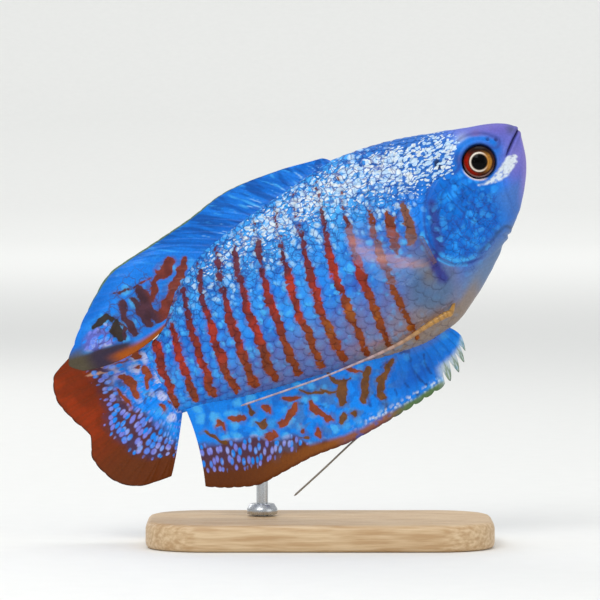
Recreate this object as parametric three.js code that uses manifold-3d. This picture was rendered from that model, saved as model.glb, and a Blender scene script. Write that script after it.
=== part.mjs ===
// A male dwarf gourami, life size, held nose-up on a plain display stand.
// Millimetres, +Z up. The origin is the middle of the stand base's underside, and the fish faces +X.
// The fish is drawn in its own frame: u runs back from the snout, z up its side, y to its left.
import * as THREE from "three";
import { mergeVertices } from "three/addons/utils/BufferGeometryUtils.js";
import Module from "manifold-3d";

const wasm = await Module();
wasm.setup();

// Driving sizes of the pose and the stand
const GAP = 0.3; // between pieces that touch
const LATTICE = 0.004; // fineness of the points of a cut piece
const PITCH = THREE.MathUtils.degToRad(28); // the body's nose-up angle
const SNOUT_X = 30; // where the fish's frame starts, above the base
const SNOUT_Z = 59.2;
const TAIL_SWAY = 4; // how far the tail tip swings to the left
const SWAY_FROM = 34;
const FISH_LENGTH = 79.5;
const BASE_LENGTH = 52;
const BASE_WIDTH = 30;
const BASE_HEIGHT = 4;
const BASE_CORNER = 9;
const ROD_RADIUS = 0.9;
const ROD_X = -8.7;
const ROD_Y = 3.1; // the rod passes behind the anal fin
const ROD_SOCKET = 2;
const ROD_TOP = 40;
const COLLAR_RADIUS = 2.3;
const COLLAR_HEIGHT = 1.6;

// Driving sizes of the body
const NOSE_U = -1.2;
const STEM_END_U = 64; // where the tail fin starts
const STEM_CUT_U = 56.5; // between trunk and tail stem
const EYE_U = 6.4;
const EYE_Z = 1.4;
const EYE_RADIUS = 2.4;
const EYE_DEPTH = 1.5; // half of the eyeball's thickness
const EYE_BULGE = 0.75;
const RIM_RADIUS = 0.34;
const LIP_RADIUS = 0.46;
const NOSTRIL_RADIUS = 0.34;
const COVER_PROUD = 0.25; // how far the gill cover stands out of the cheek
const COVER_THICKNESS = 1.1;
const BODY_RINGS = 40;
const RING_POINTS = 24;
const FIN_WEB = 0.26; // half thickness between the rays
const FIN_RIDGE = 0.2; // how far a ray stands out of the web
const FIN_FOOT = 0.5; // how much thicker a fin is at its root

// Smooth curve through [position, value] stations, flat where they turn
function through(stations) {
  const x = stations.map((p) => p[0]);
  const y = stations.map((p) => p[1]);
  const rise = x.slice(1).map((xi, i) => (y[i + 1] - y[i]) / (xi - x[i]));
  const slope = x.map((_, i) => {
    if (i === 0) return rise[0];
    if (i === x.length - 1) return rise[i - 1];
    const [a, b] = [rise[i - 1], rise[i]];
    return a * b <= 0 ? 0 : (2 * a * b) / (a + b);
  });
  return (at) => {
    const v = THREE.MathUtils.clamp(at, x[0], x[x.length - 1]);
    let i = 0;
    while (i < x.length - 2 && v > x[i + 1]) i += 1;
    const h = x[i + 1] - x[i];
    const k = (v - x[i]) / h;
    const k2 = k * k;
    const k3 = k2 * k;
    return (
      (2 * k3 - 3 * k2 + 1) * y[i] +
      (k3 - 2 * k2 + k) * h * slope[i] +
      (3 * k2 - 2 * k3) * y[i + 1] +
      (k3 - k2) * h * slope[i + 1]
    );
  };
}

// The back's outline, the belly's outline, the height of the widest line and the half width there
const back = through([
  [-1.2, 3.1], [-0.6, 3.9], [0.4, 4.7], [2.4, 5.7], [6, 6.9], [10, 8.4], [15, 10.1],
  [20, 11.3], [26, 12], [32, 11.5], [42, 10.4], [49, 9.2], [54, 6.8], [57, 4.6],
  [59.5, 2.2], [61.5, 0.8], [64, 0.5],
]);
const belly = through([
  [-1.2, 2.5], [-0.9, 1], [0, -1.9], [2, -5.2], [4.5, -8.1], [8, -10.9], [12, -14],
  [16, -16.5], [21, -18.7], [26, -19.2], [31, -18.5], [38, -16.9], [46, -15.3],
  [55, -13.3], [60, -11.8], [64, -11.2],
]);
const middle = through([
  [-1.2, 2.8], [0, 1], [5, -0.6], [10, -1.8], [20, -3.2], [36, -3.4], [50, -3.4],
  [58, -4.4], [64, -5.2],
]);
const halfWidth = through([
  [-1.2, 0.35], [-0.7, 1.05], [0, 1.6], [2, 2.6], [5, 3.8], [8, 4.7], [12, 5.5],
  [17, 6.2], [22, 6.4], [28, 6.2], [36, 5.6], [44, 4.8], [52, 3.7], [58, 2.7],
  [62, 1.9], [64, 1.5],
]);
// How sharply the section closes above and below its widest line: 1 is an ellipse
const upperPinch = through([[0, 0.85], [10, 0.95], [26, 1.2], [50, 1.25], [64, 0.9]]);
const lowerPinch = through([[0, 0.85], [10, 1], [20, 1.1], [32, 1.3], [64, 0.9]]);

const sway = (u) =>
  TAIL_SWAY * Math.max(0, (u - SWAY_FROM) / (FISH_LENGTH - SWAY_FROM)) ** 2;
const at = (u, y, z) => new THREE.Vector3(-u, y + sway(u), z);

// Half width of the body at height z
function flank(u, z) {
  const mid = middle(u);
  const reach = z > mid ? back(u) - mid : mid - belly(u);
  const share = Math.min(1, Math.abs(z - mid) / reach);
  const pinch = z > mid ? upperPinch(u) : lowerPinch(u);
  return halfWidth(u) * Math.sqrt(1 - share * share) ** pinch;
}

// How far above or below a sloping outline something must start to keep the gap
function clearOf(outline, u) {
  const slope = outline(u + 0.5) - outline(u - 0.5);
  return (GAP + 0.05) * Math.hypot(1, slope);
}

// How far out a round thread of this radius must lie to clear the flank and the anal fin's foot
function besideFlank(u, z, radius) {
  const keep = (radius + GAP) * 1.08;
  let out = FIN_WEB + FIN_RIDGE + FIN_FOOT + keep;
  for (let k = -6; k <= 6; k += 1) {
    const a = (k / 12) * Math.PI;
    const level = z + keep * Math.sin(a);
    if (level > belly(u)) out = Math.max(out, flank(u, level) + keep * Math.cos(a));
  }
  return out;
}

// Point of the body's skin at angle a round its section, from the left side upwards
function skin(u, a, grow = 0) {
  const up = Math.sin(a);
  const out = Math.cos(a);
  const mid = middle(u);
  const reach = (up > 0 ? back(u) - mid : mid - belly(u)) + grow;
  const pinch = up > 0 ? upperPinch(u) : lowerPinch(u);
  const wide = (halfWidth(u) + grow) * Math.abs(out) ** pinch * Math.sign(out);
  return at(u, wide, mid + reach * up);
}

// Closed surface over a grid of rings, with a fan at each end
function ringSurface(rings) {
  const around = rings[0].length;
  const points = rings.flat();
  const faces = [];
  for (let i = 0; i + 1 < rings.length; i += 1) {
    for (let j = 0; j < around; j += 1) {
      const a = i * around + j;
      const b = i * around + ((j + 1) % around);
      faces.push(a, b, a + around, b, b + around, a + around);
    }
  }
  const last = (rings.length - 1) * around;
  const middleOf = (ring) =>
    ring.reduce((sum, p) => sum.add(p), new THREE.Vector3()).divideScalar(around);
  points.push(middleOf(rings[0]), middleOf(rings[rings.length - 1]));
  for (let j = 0; j < around; j += 1) {
    const next = (j + 1) % around;
    faces.push(next, j, points.length - 2);
    faces.push(last + j, last + next, points.length - 1);
  }
  return new THREE.BufferGeometry().setFromPoints(points).setIndex(faces);
}

function bodySurface(grow = 0) {
  const rings = [];
  for (let i = 0; i <= BODY_RINGS; i += 1) {
    // Rings crowd towards the blunt snout
    const share = (i / BODY_RINGS) ** 1.35;
    const u = NOSE_U + (STEM_END_U - NOSE_U) * share;
    const shifted = i === 0 ? u - grow : i === BODY_RINGS ? u + grow : u;
    const ring = [];
    for (let j = 0; j < RING_POINTS; j += 1) {
      const p = skin(u, (j / RING_POINTS) * Math.PI * 2, grow);
      ring.push(p.setX(-shifted));
    }
    rings.push(ring);
  }
  return ringSurface(rings);
}

// A closed geometry as a solid, whichever way its faces were wound
function solidOf(geometry) {
  const bare = new THREE.BufferGeometry().setAttribute(
    "position",
    geometry.getAttribute("position").clone(),
  );
  if (geometry.index) bare.setIndex(geometry.index.clone());
  const merged = mergeVertices(bare, 1e-4);
  const vertProperties = merged.attributes.position.array;
  const triVerts = new Uint32Array(merged.index.array);
  const made = new wasm.Manifold(new wasm.Mesh({ numProp: 3, vertProperties, triVerts }));
  if (made.volume() > 0) return made;
  const turned = triVerts.slice();
  for (let i = 0; i < turned.length; i += 3) {
    [turned[i + 1], turned[i + 2]] = [turned[i + 2], turned[i + 1]];
  }
  return new wasm.Manifold(new wasm.Mesh({ numProp: 3, vertProperties, triVerts: turned }));
}

// The solid's faces, with its points snapped to a fine lattice so that slivers left by a cut close up
function geometryOf(solid) {
  const mesh = solid.getMesh();
  const snapped = mesh.vertProperties.map((v) => Math.round(v / LATTICE) * LATTICE);
  const rough = new THREE.BufferGeometry()
    .setAttribute("position", new THREE.BufferAttribute(snapped, 3))
    .setIndex(new THREE.BufferAttribute(mesh.triVerts, 1));
  const welded = mergeVertices(rough, LATTICE / 2);
  const corners = Array.from(welded.index.array);
  const kept = [];
  for (let i = 0; i < corners.length; i += 3) {
    const [a, b, c] = corners.slice(i, i + 3);
    if (a !== b && b !== c && c !== a) kept.push(a, b, c);
  }
  return welded.setIndex(kept);
}

const largest = (solid) =>
  solid.decompose().reduce((best, s) => (s.volume() > best.volume() ? s : best));

// A closed outline of [u, z] points, pushed through the fish from y = low to y = high
function throughPlate(outline, low, high) {
  const shape = new THREE.Shape(outline.map(([u, z]) => new THREE.Vector2(-u, z)));
  const plate = new THREE.ExtrudeGeometry(shape, { depth: high - low, bevelEnabled: false });
  return solidOf(plate.rotateX(Math.PI / 2).translate(0, high, 0));
}

// Points of a smooth line through [u, z] stations
function smoothLine(stations, steps) {
  const line = new THREE.SplineCurve(stations.map(([u, z]) => new THREE.Vector2(u, z)));
  return line.getPoints(steps).map((p) => [p.x, p.y]);
}

// A slit of constant width along a line of [u, z] points, right through the fish
function slit(line, width = GAP) {
  const side = (sign) =>
    line.map(([u, z], i) => {
      const [u0, z0] = line[Math.max(0, i - 1)];
      const [u1, z1] = line[Math.min(line.length - 1, i + 1)];
      const long = Math.hypot(u1 - u0, z1 - z0);
      const shift = (sign * width) / 2 / long;
      return [u - (z1 - z0) * shift, z + (u1 - u0) * shift];
    });
  return throughPlate([...side(1), ...side(-1).reverse()], -20, 20);
}

// A tapering round piece along a smooth line of points
function tube(points, radiusAt, steps, sides) {
  const line = new THREE.CatmullRomCurve3(points);
  const frames = line.computeFrenetFrames(steps, false);
  const rings = [];
  for (let i = 0; i <= steps; i += 1) {
    const centre = line.getPointAt(i / steps);
    const ring = [];
    for (let j = 0; j < sides; j += 1) {
      const a = (j / sides) * Math.PI * 2;
      const out = frames.normals[i].clone().multiplyScalar(Math.cos(a));
      out.addScaledVector(frames.binormals[i], Math.sin(a));
      ring.push(centre.clone().addScaledVector(out, radiusAt(i / steps)));
    }
    rings.push(ring);
  }
  return ringSurface(rings);
}

// Mouth line, jaw edge, gill opening and the edge of the cheek, as [u, z] stations
const MOUTH_LINE = [[-1.25, 2.85], [0.2, 1.95], [1.9, 0.6], [3.3, -0.9]];
const JAW_EDGE = [[3.3, -0.9], [4.4, -3.2], [4.9, -6], [5, -9.5]];
const GILL_OPENING = [
  [7.9, -13], [8.1, -10.8], [10.9, -11.5], [14.4, -11.6], [17.2, -10.4], [18.7, -7.8],
  [18.4, -4], [16.9, -0.6], [14.9, 1.9], [13.6, 5], [13, 10], [12.8, 13],
];
const COVER_EDGE = [
  [14.4, 1.5], [16.5, -0.8], [18, -4], [18.3, -7.6], [16.9, -10], [14.3, -11.1],
  [11, -11], [9.4, -9.6], [11.2, -7.2], [12.1, -3.6], [12, 0.4], [12.8, 2.2],
];

function eyeball(side, grow) {
  const ball = new THREE.SphereGeometry(1, 20, 10);
  ball.rotateX(Math.PI / 2);
  ball.scale(EYE_RADIUS + grow, EYE_DEPTH + grow, EYE_RADIUS + grow);
  const y = flank(EYE_U, EYE_Z) + EYE_BULGE - EYE_DEPTH;
  return ball.translate(-EYE_U, side * y, EYE_Z);
}

// The raised ring of skin round the eye, laid on the cheek
function eyeRim(side) {
  const steps = 22;
  const sides = 6;
  const points = [];
  const faces = [];
  const radius = EYE_RADIUS + GAP + RIM_RADIUS * 0.6;
  for (let i = 0; i < steps; i += 1) {
    const a = ((i + 0.5) / steps) * Math.PI * 2;
    for (let j = 0; j < sides; j += 1) {
      const b = (j / sides) * Math.PI * 2;
      const r = radius + RIM_RADIUS * Math.cos(b);
      const u = EYE_U + radius * Math.cos(a);
      const z = EYE_Z + radius * Math.sin(a);
      const out = flank(u, z) - RIM_RADIUS * 0.3 + RIM_RADIUS * Math.sin(b);
      points.push(at(EYE_U + r * Math.cos(a), side * out, EYE_Z + r * Math.sin(a)));
      const [p, q] = [i * sides + j, i * sides + ((j + 1) % sides)];
      const [s, t] = [p, q].map((k) => (k + sides) % (steps * sides));
      faces.push(p, q, s, q, t, s);
    }
  }
  return solidOf(new THREE.BufferGeometry().setFromPoints(points).setIndex(faces));
}

// A lip: a fold along the mouth line from one corner round the snout to the other
function lip(lift) {
  const line = smoothLine(MOUTH_LINE, 6);
  const shifted = line.map(([u, z]) => [u + lift * 0.28, z + lift * 0.42]);
  const halfLip = (side) =>
    shifted.map(([u, z]) => at(u, side * Math.max(0.15, flank(u, z) - 0.12), z));
  const points = [...halfLip(-1).reverse(), ...halfLip(1)];
  const fullness = (s) => LIP_RADIUS * (0.55 + 0.45 * Math.sin(Math.PI * s));
  return solidOf(tube(points, fullness, 16, 6));
}

function nostrils(side) {
  return [[2.6, 3.1], [3.7, 3.7]].map(([u, z]) => {
    const pit = new THREE.SphereGeometry(NOSTRIL_RADIUS, 7, 5);
    return solidOf(pit.translate(-u, side * flank(u, z), z));
  });
}

const pieces = {};
const gillLine = smoothLine(GILL_OPENING, 28);
const coverOutline = (() => {
  const edge = COVER_EDGE.map(([u, z]) => new THREE.Vector2(u, z));
  const closed = new THREE.SplineCurve([...edge, edge[0]]);
  return closed.getPoints(34).slice(0, -1).map((p) => [p.x, p.y]);
})();

// The same outline, moved outward by a constant distance; it runs anticlockwise seen from the left
function wider(outline, by) {
  const count = outline.length;
  return outline.map(([u, z], i) => {
    const [u0, z0] = outline[(i + count - 1) % count];
    const [u1, z1] = outline[(i + 1) % count];
    const long = Math.hypot(u1 - u0, z1 - z0);
    return [u - ((z1 - z0) / long) * by, z + ((u1 - u0) / long) * by];
  });
}

function buildFlesh() {
  let flesh = solidOf(bodySurface());
  for (const side of [-1, 1]) {
    flesh = flesh.add(eyeRim(side));
  }
  flesh = flesh.add(lip(1)).add(lip(-1));
  const proud = solidOf(bodySurface(COVER_PROUD));
  const under = solidOf(bodySurface(-COVER_THICKNESS + COVER_PROUD));
  const bed = solidOf(bodySurface(-COVER_THICKNESS + COVER_PROUD - GAP));
  for (const [name, side] of [["right", -1], ["left", 1]]) {
    const [low, high] = side < 0 ? [-12, -1] : [1, 12];
    const plate = throughPlate(coverOutline, low, high);
    pieces["gill_cover_" + name] = largest(proud.intersect(plate).subtract(under));
    const pocket = throughPlate(wider(coverOutline, GAP + 0.05), low, high).subtract(bed);
    flesh = flesh.subtract(pocket);
    pieces["eye_" + name] = solidOf(eyeball(side, 0));
    flesh = flesh.subtract(solidOf(eyeball(side, GAP)));
    for (const pit of nostrils(side)) flesh = flesh.subtract(pit);
  }
  const stemCut = [[STEM_CUT_U - 1, 20], [STEM_CUT_U, -4], [STEM_CUT_U + 2, -20]];
  const cuts = [
    gillLine,
    [[-4, 4.55], ...smoothLine(MOUTH_LINE, 6), ...smoothLine(JAW_EDGE, 6).slice(1), [5, -14]],
    smoothLine(stemCut, 6),
  ];
  for (const line of cuts) flesh = flesh.subtract(slit(line));
  const found = flesh.decompose().sort((a, b) => b.volume() - a.volume());
  const middleU = (s) => -(s.boundingBox().min[0] + s.boundingBox().max[0]) / 2;
  const big = found.slice(0, 4).sort((a, b) => middleU(a) - middleU(b));
  ["lower_jaw", "head", "trunk", "tail_stem"].forEach((name, i) => {
    pieces[name] = big[i];
  });
}

// A fin: rays from a root line to an outer margin, raised as ridges on a thin web.
// place(s, r) is the middle of the web, s along the root and r along the ray, and side(s, r) its face.
function fin({ rays, rows, place, side, web, ridge, root, notch }) {
  const columns = [];
  for (let i = 0; i <= 2 * rays; i += 1) {
    columns.push({ s: i / (2 * rays), crest: i % 2 });
  }
  const points = [];
  const spot = (i, j, face) => (i * (rows + 1) + j) * 2 + face;
  for (const { s, crest } of columns) {
    const reach = 1 - notch(s) * (1 - crest);
    for (let j = 0; j <= rows; j += 1) {
      const r = (j / rows) * reach;
      const half = web + ridge * crest * (1 - 0.7 * r) + root * (1 - r) ** 8;
      const centre = place(s, r);
      const out = side(s, r).multiplyScalar(half);
      points.push(centre.clone().add(out), centre.clone().sub(out));
    }
  }
  const faces = [];
  const quad = (a, b, c, d) => faces.push(a, b, c, a, c, d);
  const n = columns.length - 1;
  for (let i = 0; i < n; i += 1) {
    for (let j = 0; j < rows; j += 1) {
      quad(spot(i, j, 0), spot(i + 1, j, 0), spot(i + 1, j + 1, 0), spot(i, j + 1, 0));
      const [a, b] = [spot(i, j, 1), spot(i + 1, j, 1)];
      const [c, d] = [spot(i + 1, j + 1, 1), spot(i, j + 1, 1)];
      faces.push(a, c, b, a, d, c);
    }
    quad(spot(i, 0, 1), spot(i + 1, 0, 1), spot(i + 1, 0, 0), spot(i, 0, 0));
    quad(spot(i, rows, 0), spot(i + 1, rows, 0), spot(i + 1, rows, 1), spot(i, rows, 1));
  }
  for (let j = 0; j < rows; j += 1) {
    quad(spot(0, j, 1), spot(0, j, 0), spot(0, j + 1, 0), spot(0, j + 1, 1));
    quad(spot(n, j, 0), spot(n, j, 1), spot(n, j + 1, 1), spot(n, j + 1, 0));
  }
  return solidOf(new THREE.BufferGeometry().setFromPoints(points).setIndex(faces));
}

const LEFT = () => new THREE.Vector3(0, 1, 0);

// Fin outlines: s along the root, the root's u, and the u and z of the margin there
function marginOf(stations) {
  return stations[0].slice(1).map((_, k) => through(stations.map((row) => [row[0], row[k + 1]])));
}
const [dorsalRootU, dorsalTipU, dorsalTipZ] = marginOf([
  [0, 25.6, 27.6, 12.9],
  [0.12, 29.6, 33.4, 14.3],
  [0.28, 35.4, 41.6, 15.2],
  [0.45, 41.6, 49.2, 14.1],
  [0.6, 46.8, 56, 13.4],
  [0.72, 50.8, 62.2, 12.8],
  [0.82, 54, 68.4, 9.3],
  [0.91, 57, 72.6, 5.8],
  [0.97, 59, 74.8, 3.3],
  [1, 60, 73.4, 1.6],
]);
const [analRootU, analTipU, analTipZ] = marginOf([
  [0, 22, 20.9, -21.9],
  [0.05, 23.3, 22.2, -24.1],
  [0.1, 24.8, 24.2, -25.4],
  [0.16, 26.8, 27.4, -26.1],
  [0.3, 32.2, 34.6, -26.6],
  [0.45, 38.6, 42.2, -26.8],
  [0.62, 45.6, 50, -26.1],
  [0.78, 52.4, 57.2, -26.2],
  [0.9, 58, 62, -24.6],
  [1, 62.6, 65.5, -22.6],
]);
const [tailRootU, tailRootZ, tailTipU, tailTipZ] = marginOf([
  [0, 64, 0.4, 74.6, 4.2],
  [0.12, 64, -1, 78.2, 2.6],
  [0.24, 64, -2.4, 79.4, -0.8],
  [0.38, 64, -4, 78.5, -4.6],
  [0.5, 64, -5.4, 77.4, -7.7],
  [0.62, 64, -6.8, 78.7, -11],
  [0.76, 64, -8.4, 77.6, -15.1],
  [0.88, 64, -9.8, 74, -18.1],
  [1, 64, -11.1, 69.4, -18.9],
]);
const mix = THREE.MathUtils.lerp;
const ease = (v, from, to) => THREE.MathUtils.smoothstep(v, from, to);

function medianFins() {
  // The back rays of the dorsal fin lie over the near side of the tail fin
  const dorsal = fin({
    rays: 23, rows: 5, web: FIN_WEB, ridge: FIN_RIDGE, root: FIN_FOOT,
    notch: (s) => 0.05 - 0.03 * s,
    side: LEFT,
    place: (s, r) => {
      const u = mix(dorsalRootU(s), dorsalTipU(s), r);
      const rootZ = back(dorsalRootU(s)) + clearOf(back, dorsalRootU(s));
      const bow = 4 * r * (1 - r) * (0.5 - 1.5 * ease(s, 0.86, 1));
      const lean = -3.4 * ease(s, 0.55, 0.95) * ease(r, 0, 0.75) - sway(u) * 0.6 * r;
      return at(u, lean, mix(rootZ, dorsalTipZ(s), r) + bow);
    },
  });
  const anal = fin({
    rays: 28, rows: 4, web: FIN_WEB, ridge: FIN_RIDGE, root: FIN_FOOT,
    notch: (s) => (s < 0.14 ? 0.34 : 0.04),
    side: LEFT,
    place: (s, r) => {
      const u = mix(analRootU(s), analTipU(s), r) - 4 * r * (1 - r) * 0.5;
      const rootZ = belly(analRootU(s)) - clearOf(belly, analRootU(s));
      const wave = 0.35 * Math.sin(s * 11) * r;
      return at(u, wave, mix(rootZ, analTipZ(s), r));
    },
  });
  const tail = fin({
    rays: 14, rows: 6, web: FIN_WEB, ridge: FIN_RIDGE, root: 1,
    notch: () => 0.02,
    side: LEFT,
    place: (s, r) => {
      const spread = 4 * r * (1 - r) * 0.9 * Math.sin((s - 0.5) * Math.PI);
      const u = mix(tailRootU(s) + GAP, tailTipU(s), r) + 0.5 * r * (1 - r) * 4;
      const wave = 0.5 * Math.sin(s * 7 + 0.6) * r * r + 0.5 * r;
      return at(u, wave, mix(tailRootZ(s), tailTipZ(s), r) - spread);
    },
  });
  Object.assign(pieces, { dorsal_fin: dorsal, anal_fin: anal, tail_fin: tail });
}

// A pectoral fin: a rounded fan from a short root behind the gill cover, held out from the flank
const PECTORAL_U = 19.6;
const PECTORAL_TOP = -4.4;
const PECTORAL_BOTTOM = -8.8;
const PECTORAL_OUT = 0.34; // how far each millimetre of ray swings out
const PECTORAL_FOOT = 0.62; // half the root's thickness
const pectoralAngle = through([[0, 0.78], [0.5, 0.36], [1, -0.22]]);
const pectoralLength = through([[0, 9.6], [0.2, 12], [0.5, 11], [0.8, 7.6], [1, 4.6]]);

function pectoralFin(side) {
  const place = (s, r) => {
    const rootZ = mix(PECTORAL_TOP, PECTORAL_BOTTOM, s);
    const long = pectoralLength(s) * r;
    const u = PECTORAL_U + long * Math.cos(pectoralAngle(s));
    const z = rootZ + long * Math.sin(pectoralAngle(s));
    const start = flank(PECTORAL_U, rootZ) + GAP + PECTORAL_FOOT;
    const out = start + long * PECTORAL_OUT + 0.9 * Math.sin(Math.PI * r) * (1 - s);
    return at(u, side * out, z);
  };
  const face = new THREE.Vector3(PECTORAL_OUT, side, 0).normalize();
  return fin({
    rays: 9, rows: 4, web: 0.25, ridge: 0.16, root: 0.2,
    notch: () => 0.03,
    place,
    side: () => face.clone(),
  });
}

// The feelers are the thread-like pelvic fins. The right one lies along the belly's edge, and
// the left one trails down behind the anal fin.
const FEELER_ROOT = 0.62;
const FEELER_TIP = 0.24;
const feelerRadius = (s) => mix(FEELER_ROOT, FEELER_TIP, Math.min(1, s * 1.15));

function feelerRight() {
  const run = smoothLine([[20.6, -16.4], [24, -16.5], [30, -17], [37.5, -16.6], [44, -15.9], [55, -14.2]], 16);
  const points = run.map(([u, z], i) => {
    return at(u, -besideFlank(u, z, feelerRadius(i / 16)), z);
  });
  return solidOf(tube(points, feelerRadius, 26, 6));
}

function feelerLeft() {
  const clear = besideFlank(20.6, -16.4, FEELER_ROOT) + 0.1;
  const run = [
    [20.6, clear, -16.4], [22.2, clear + 0.4, -18.6], [26, 2.9, -21.6], [33, 2, -24.6],
    [42.4, 1.5, -26.9], [48.6, 1.4, -28.6], [54.4, 1.2, -30.1],
  ];
  return solidOf(tube(run.map(([u, y, z]) => at(u, y, z)), feelerRadius, 26, 6));
}

buildFlesh();
medianFins();
pieces.pectoral_fin_right = pectoralFin(-1);
pieces.pectoral_fin_left = pectoralFin(1);
pieces.feeler_right = feelerRight();
pieces.feeler_left = feelerLeft();

// The stand: a flat base with round corners, a rod behind the anal fin and its collar
function standPieces(fishMatrix) {
  const [l, w, c] = [BASE_LENGTH / 2, BASE_WIDTH / 2, BASE_CORNER];
  const outline = new THREE.Shape();
  outline.moveTo(l - c, -w);
  outline.absarc(l - c, -w + c, c, -Math.PI / 2, 0);
  outline.absarc(l - c, w - c, c, 0, Math.PI / 2);
  outline.absarc(-l + c, w - c, c, Math.PI / 2, Math.PI);
  outline.absarc(-l + c, -w + c, c, Math.PI, Math.PI * 1.5);
  const bevel = 0.7;
  const slab = new THREE.ExtrudeGeometry(outline, {
    depth: BASE_HEIGHT - bevel * 2,
    bevelThickness: bevel,
    bevelSize: bevel,
    bevelOffset: -bevel,
    bevelSegments: 1,
    curveSegments: 6,
  });
  const post = (radius, low, high) => {
    const cylinder = new THREE.CylinderGeometry(radius, radius, high - low, 14);
    return solidOf(cylinder.rotateX(Math.PI / 2).translate(ROD_X, ROD_Y, (low + high) / 2));
  };
  const socketFloor = BASE_HEIGHT - ROD_SOCKET;
  const base = solidOf(slab.translate(0, 0, bevel));
  const nearFish = solidOf(bodySurface(GAP * 1.2).applyMatrix4(fishMatrix));
  const collarProfile = [
    [ROD_RADIUS + GAP, 0], [COLLAR_RADIUS, 0], [COLLAR_RADIUS, COLLAR_HEIGHT * 0.55],
    [COLLAR_RADIUS * 0.8, COLLAR_HEIGHT], [ROD_RADIUS + GAP, COLLAR_HEIGHT],
    [ROD_RADIUS + GAP, 0],
  ].map(([x, y]) => new THREE.Vector2(x, y));
  const collar = new THREE.LatheGeometry(collarProfile, 16).rotateX(Math.PI / 2);
  return {
    stand_base: base.subtract(post(ROD_RADIUS + GAP, socketFloor - GAP, BASE_HEIGHT + 1)),
    stand_rod: largest(post(ROD_RADIUS, socketFloor, ROD_TOP).subtract(nearFish)),
    stand_collar: solidOf(collar.translate(ROD_X, ROD_Y, BASE_HEIGHT + GAP)),
  };
}

const paint = (color, roughness, metalness = 0) =>
  new THREE.MeshStandardMaterial({ color, roughness, metalness });
const SKIN = paint("#3b86d6", 0.35);
const FIN = paint("#2f7fd8", 0.4);
const materials = {
  head: paint("#5f78c8", 0.35),
  lower_jaw: paint("#7d77bd", 0.35),
  gill_cover: paint("#1f7fe0", 0.3),
  eye: paint("#1a120e", 0.1),
  tail_fin: paint("#8f3316", 0.4),
  pectoral_fin: paint("#b8a8ae", 0.4),
  feeler: paint("#c98a3a", 0.45),
  stand_base: paint("#c9a57a", 0.55),
  stand: paint("#b9bcc0", 0.3, 1),
};

function materialFor(name) {
  if (materials[name]) return materials[name];
  const kin = Object.keys(materials).find((key) => name.startsWith(key));
  if (kin) return materials[kin];
  return name.endsWith("_fin") ? FIN : SKIN;
}

function node(name, made) {
  const mesh = new THREE.Mesh(made.isBufferGeometry ? made : geometryOf(made), materialFor(name));
  mesh.name = name;
  return mesh;
}

const model = new THREE.Group();
const fish = new THREE.Group();
fish.position.set(SNOUT_X, 0, SNOUT_Z);
fish.rotation.y = -PITCH;
fish.updateMatrixWorld();
for (const [name, made] of Object.entries(pieces)) fish.add(node(name, made));
model.add(fish);
for (const [name, made] of Object.entries(standPieces(fish.matrixWorld))) {
  model.add(node(name, made));
}

export default model;
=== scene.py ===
import math
from functools import partial

import bpy
import numpy as np
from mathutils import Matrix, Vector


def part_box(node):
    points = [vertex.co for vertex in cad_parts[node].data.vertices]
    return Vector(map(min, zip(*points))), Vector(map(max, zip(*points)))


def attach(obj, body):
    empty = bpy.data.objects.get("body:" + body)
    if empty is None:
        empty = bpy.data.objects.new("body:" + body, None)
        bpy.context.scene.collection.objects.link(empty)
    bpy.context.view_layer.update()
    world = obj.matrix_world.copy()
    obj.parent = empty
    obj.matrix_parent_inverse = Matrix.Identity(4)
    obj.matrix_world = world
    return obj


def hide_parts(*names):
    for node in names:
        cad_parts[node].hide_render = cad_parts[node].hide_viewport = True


bl_info = {
    "name": "Dwarf gourami on a stand",
    "version": (1, 0, 0),
    "blender": (4, 5, 0),
    "location": "3D View > Sidebar > Gourami",
    "description": "Builds the skin, scales, eyes, fins, feelers, stand and stage of a gourami",
    "category": "Add Mesh",
}

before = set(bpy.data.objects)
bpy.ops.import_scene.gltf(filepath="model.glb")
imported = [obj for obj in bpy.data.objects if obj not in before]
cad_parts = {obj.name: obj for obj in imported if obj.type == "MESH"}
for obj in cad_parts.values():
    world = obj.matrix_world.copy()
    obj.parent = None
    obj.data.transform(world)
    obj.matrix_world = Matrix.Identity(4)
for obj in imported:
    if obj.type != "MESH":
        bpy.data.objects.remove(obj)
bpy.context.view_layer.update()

# The fish's own frame, in millimetres: u runs back from the snout, y to its left, z up its side
MM = 0.001
PITCH = math.radians(28)
SNOUT_X, SNOUT_Z = 30.0, 59.2
TAIL_SWAY, SWAY_FROM, FISH_LENGTH = 4.0, 34.0, 79.5
NOSE_U, STEM_END_U = -1.2, 64.0
EYE_U, EYE_Z = 6.4, 1.4
EYE_RADIUS, EYE_DEPTH, EYE_BULGE = 2.4, 1.5, 0.75
RIGHT, LEFT = -1, 1
SIDES = {RIGHT: "right", LEFT: "left"}
OUTSIDE = -2.0  # depth into a bar or stroke, in millimetres, where there is none
NO_SPOT, NO_NET = -0.12, -0.06  # reach of the pale dashes and of the dark net where there are none
STROKE_POINTS = 14


def linear(code):
    """An sRGB hex colour as linear red, green and blue."""
    parts = [int(code[i : i + 2], 16) / 255 for i in (1, 3, 5)]
    return tuple(c / 12.92 if c <= 0.04045 else ((c + 0.055) / 1.055) ** 2.4 for c in parts)


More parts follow.
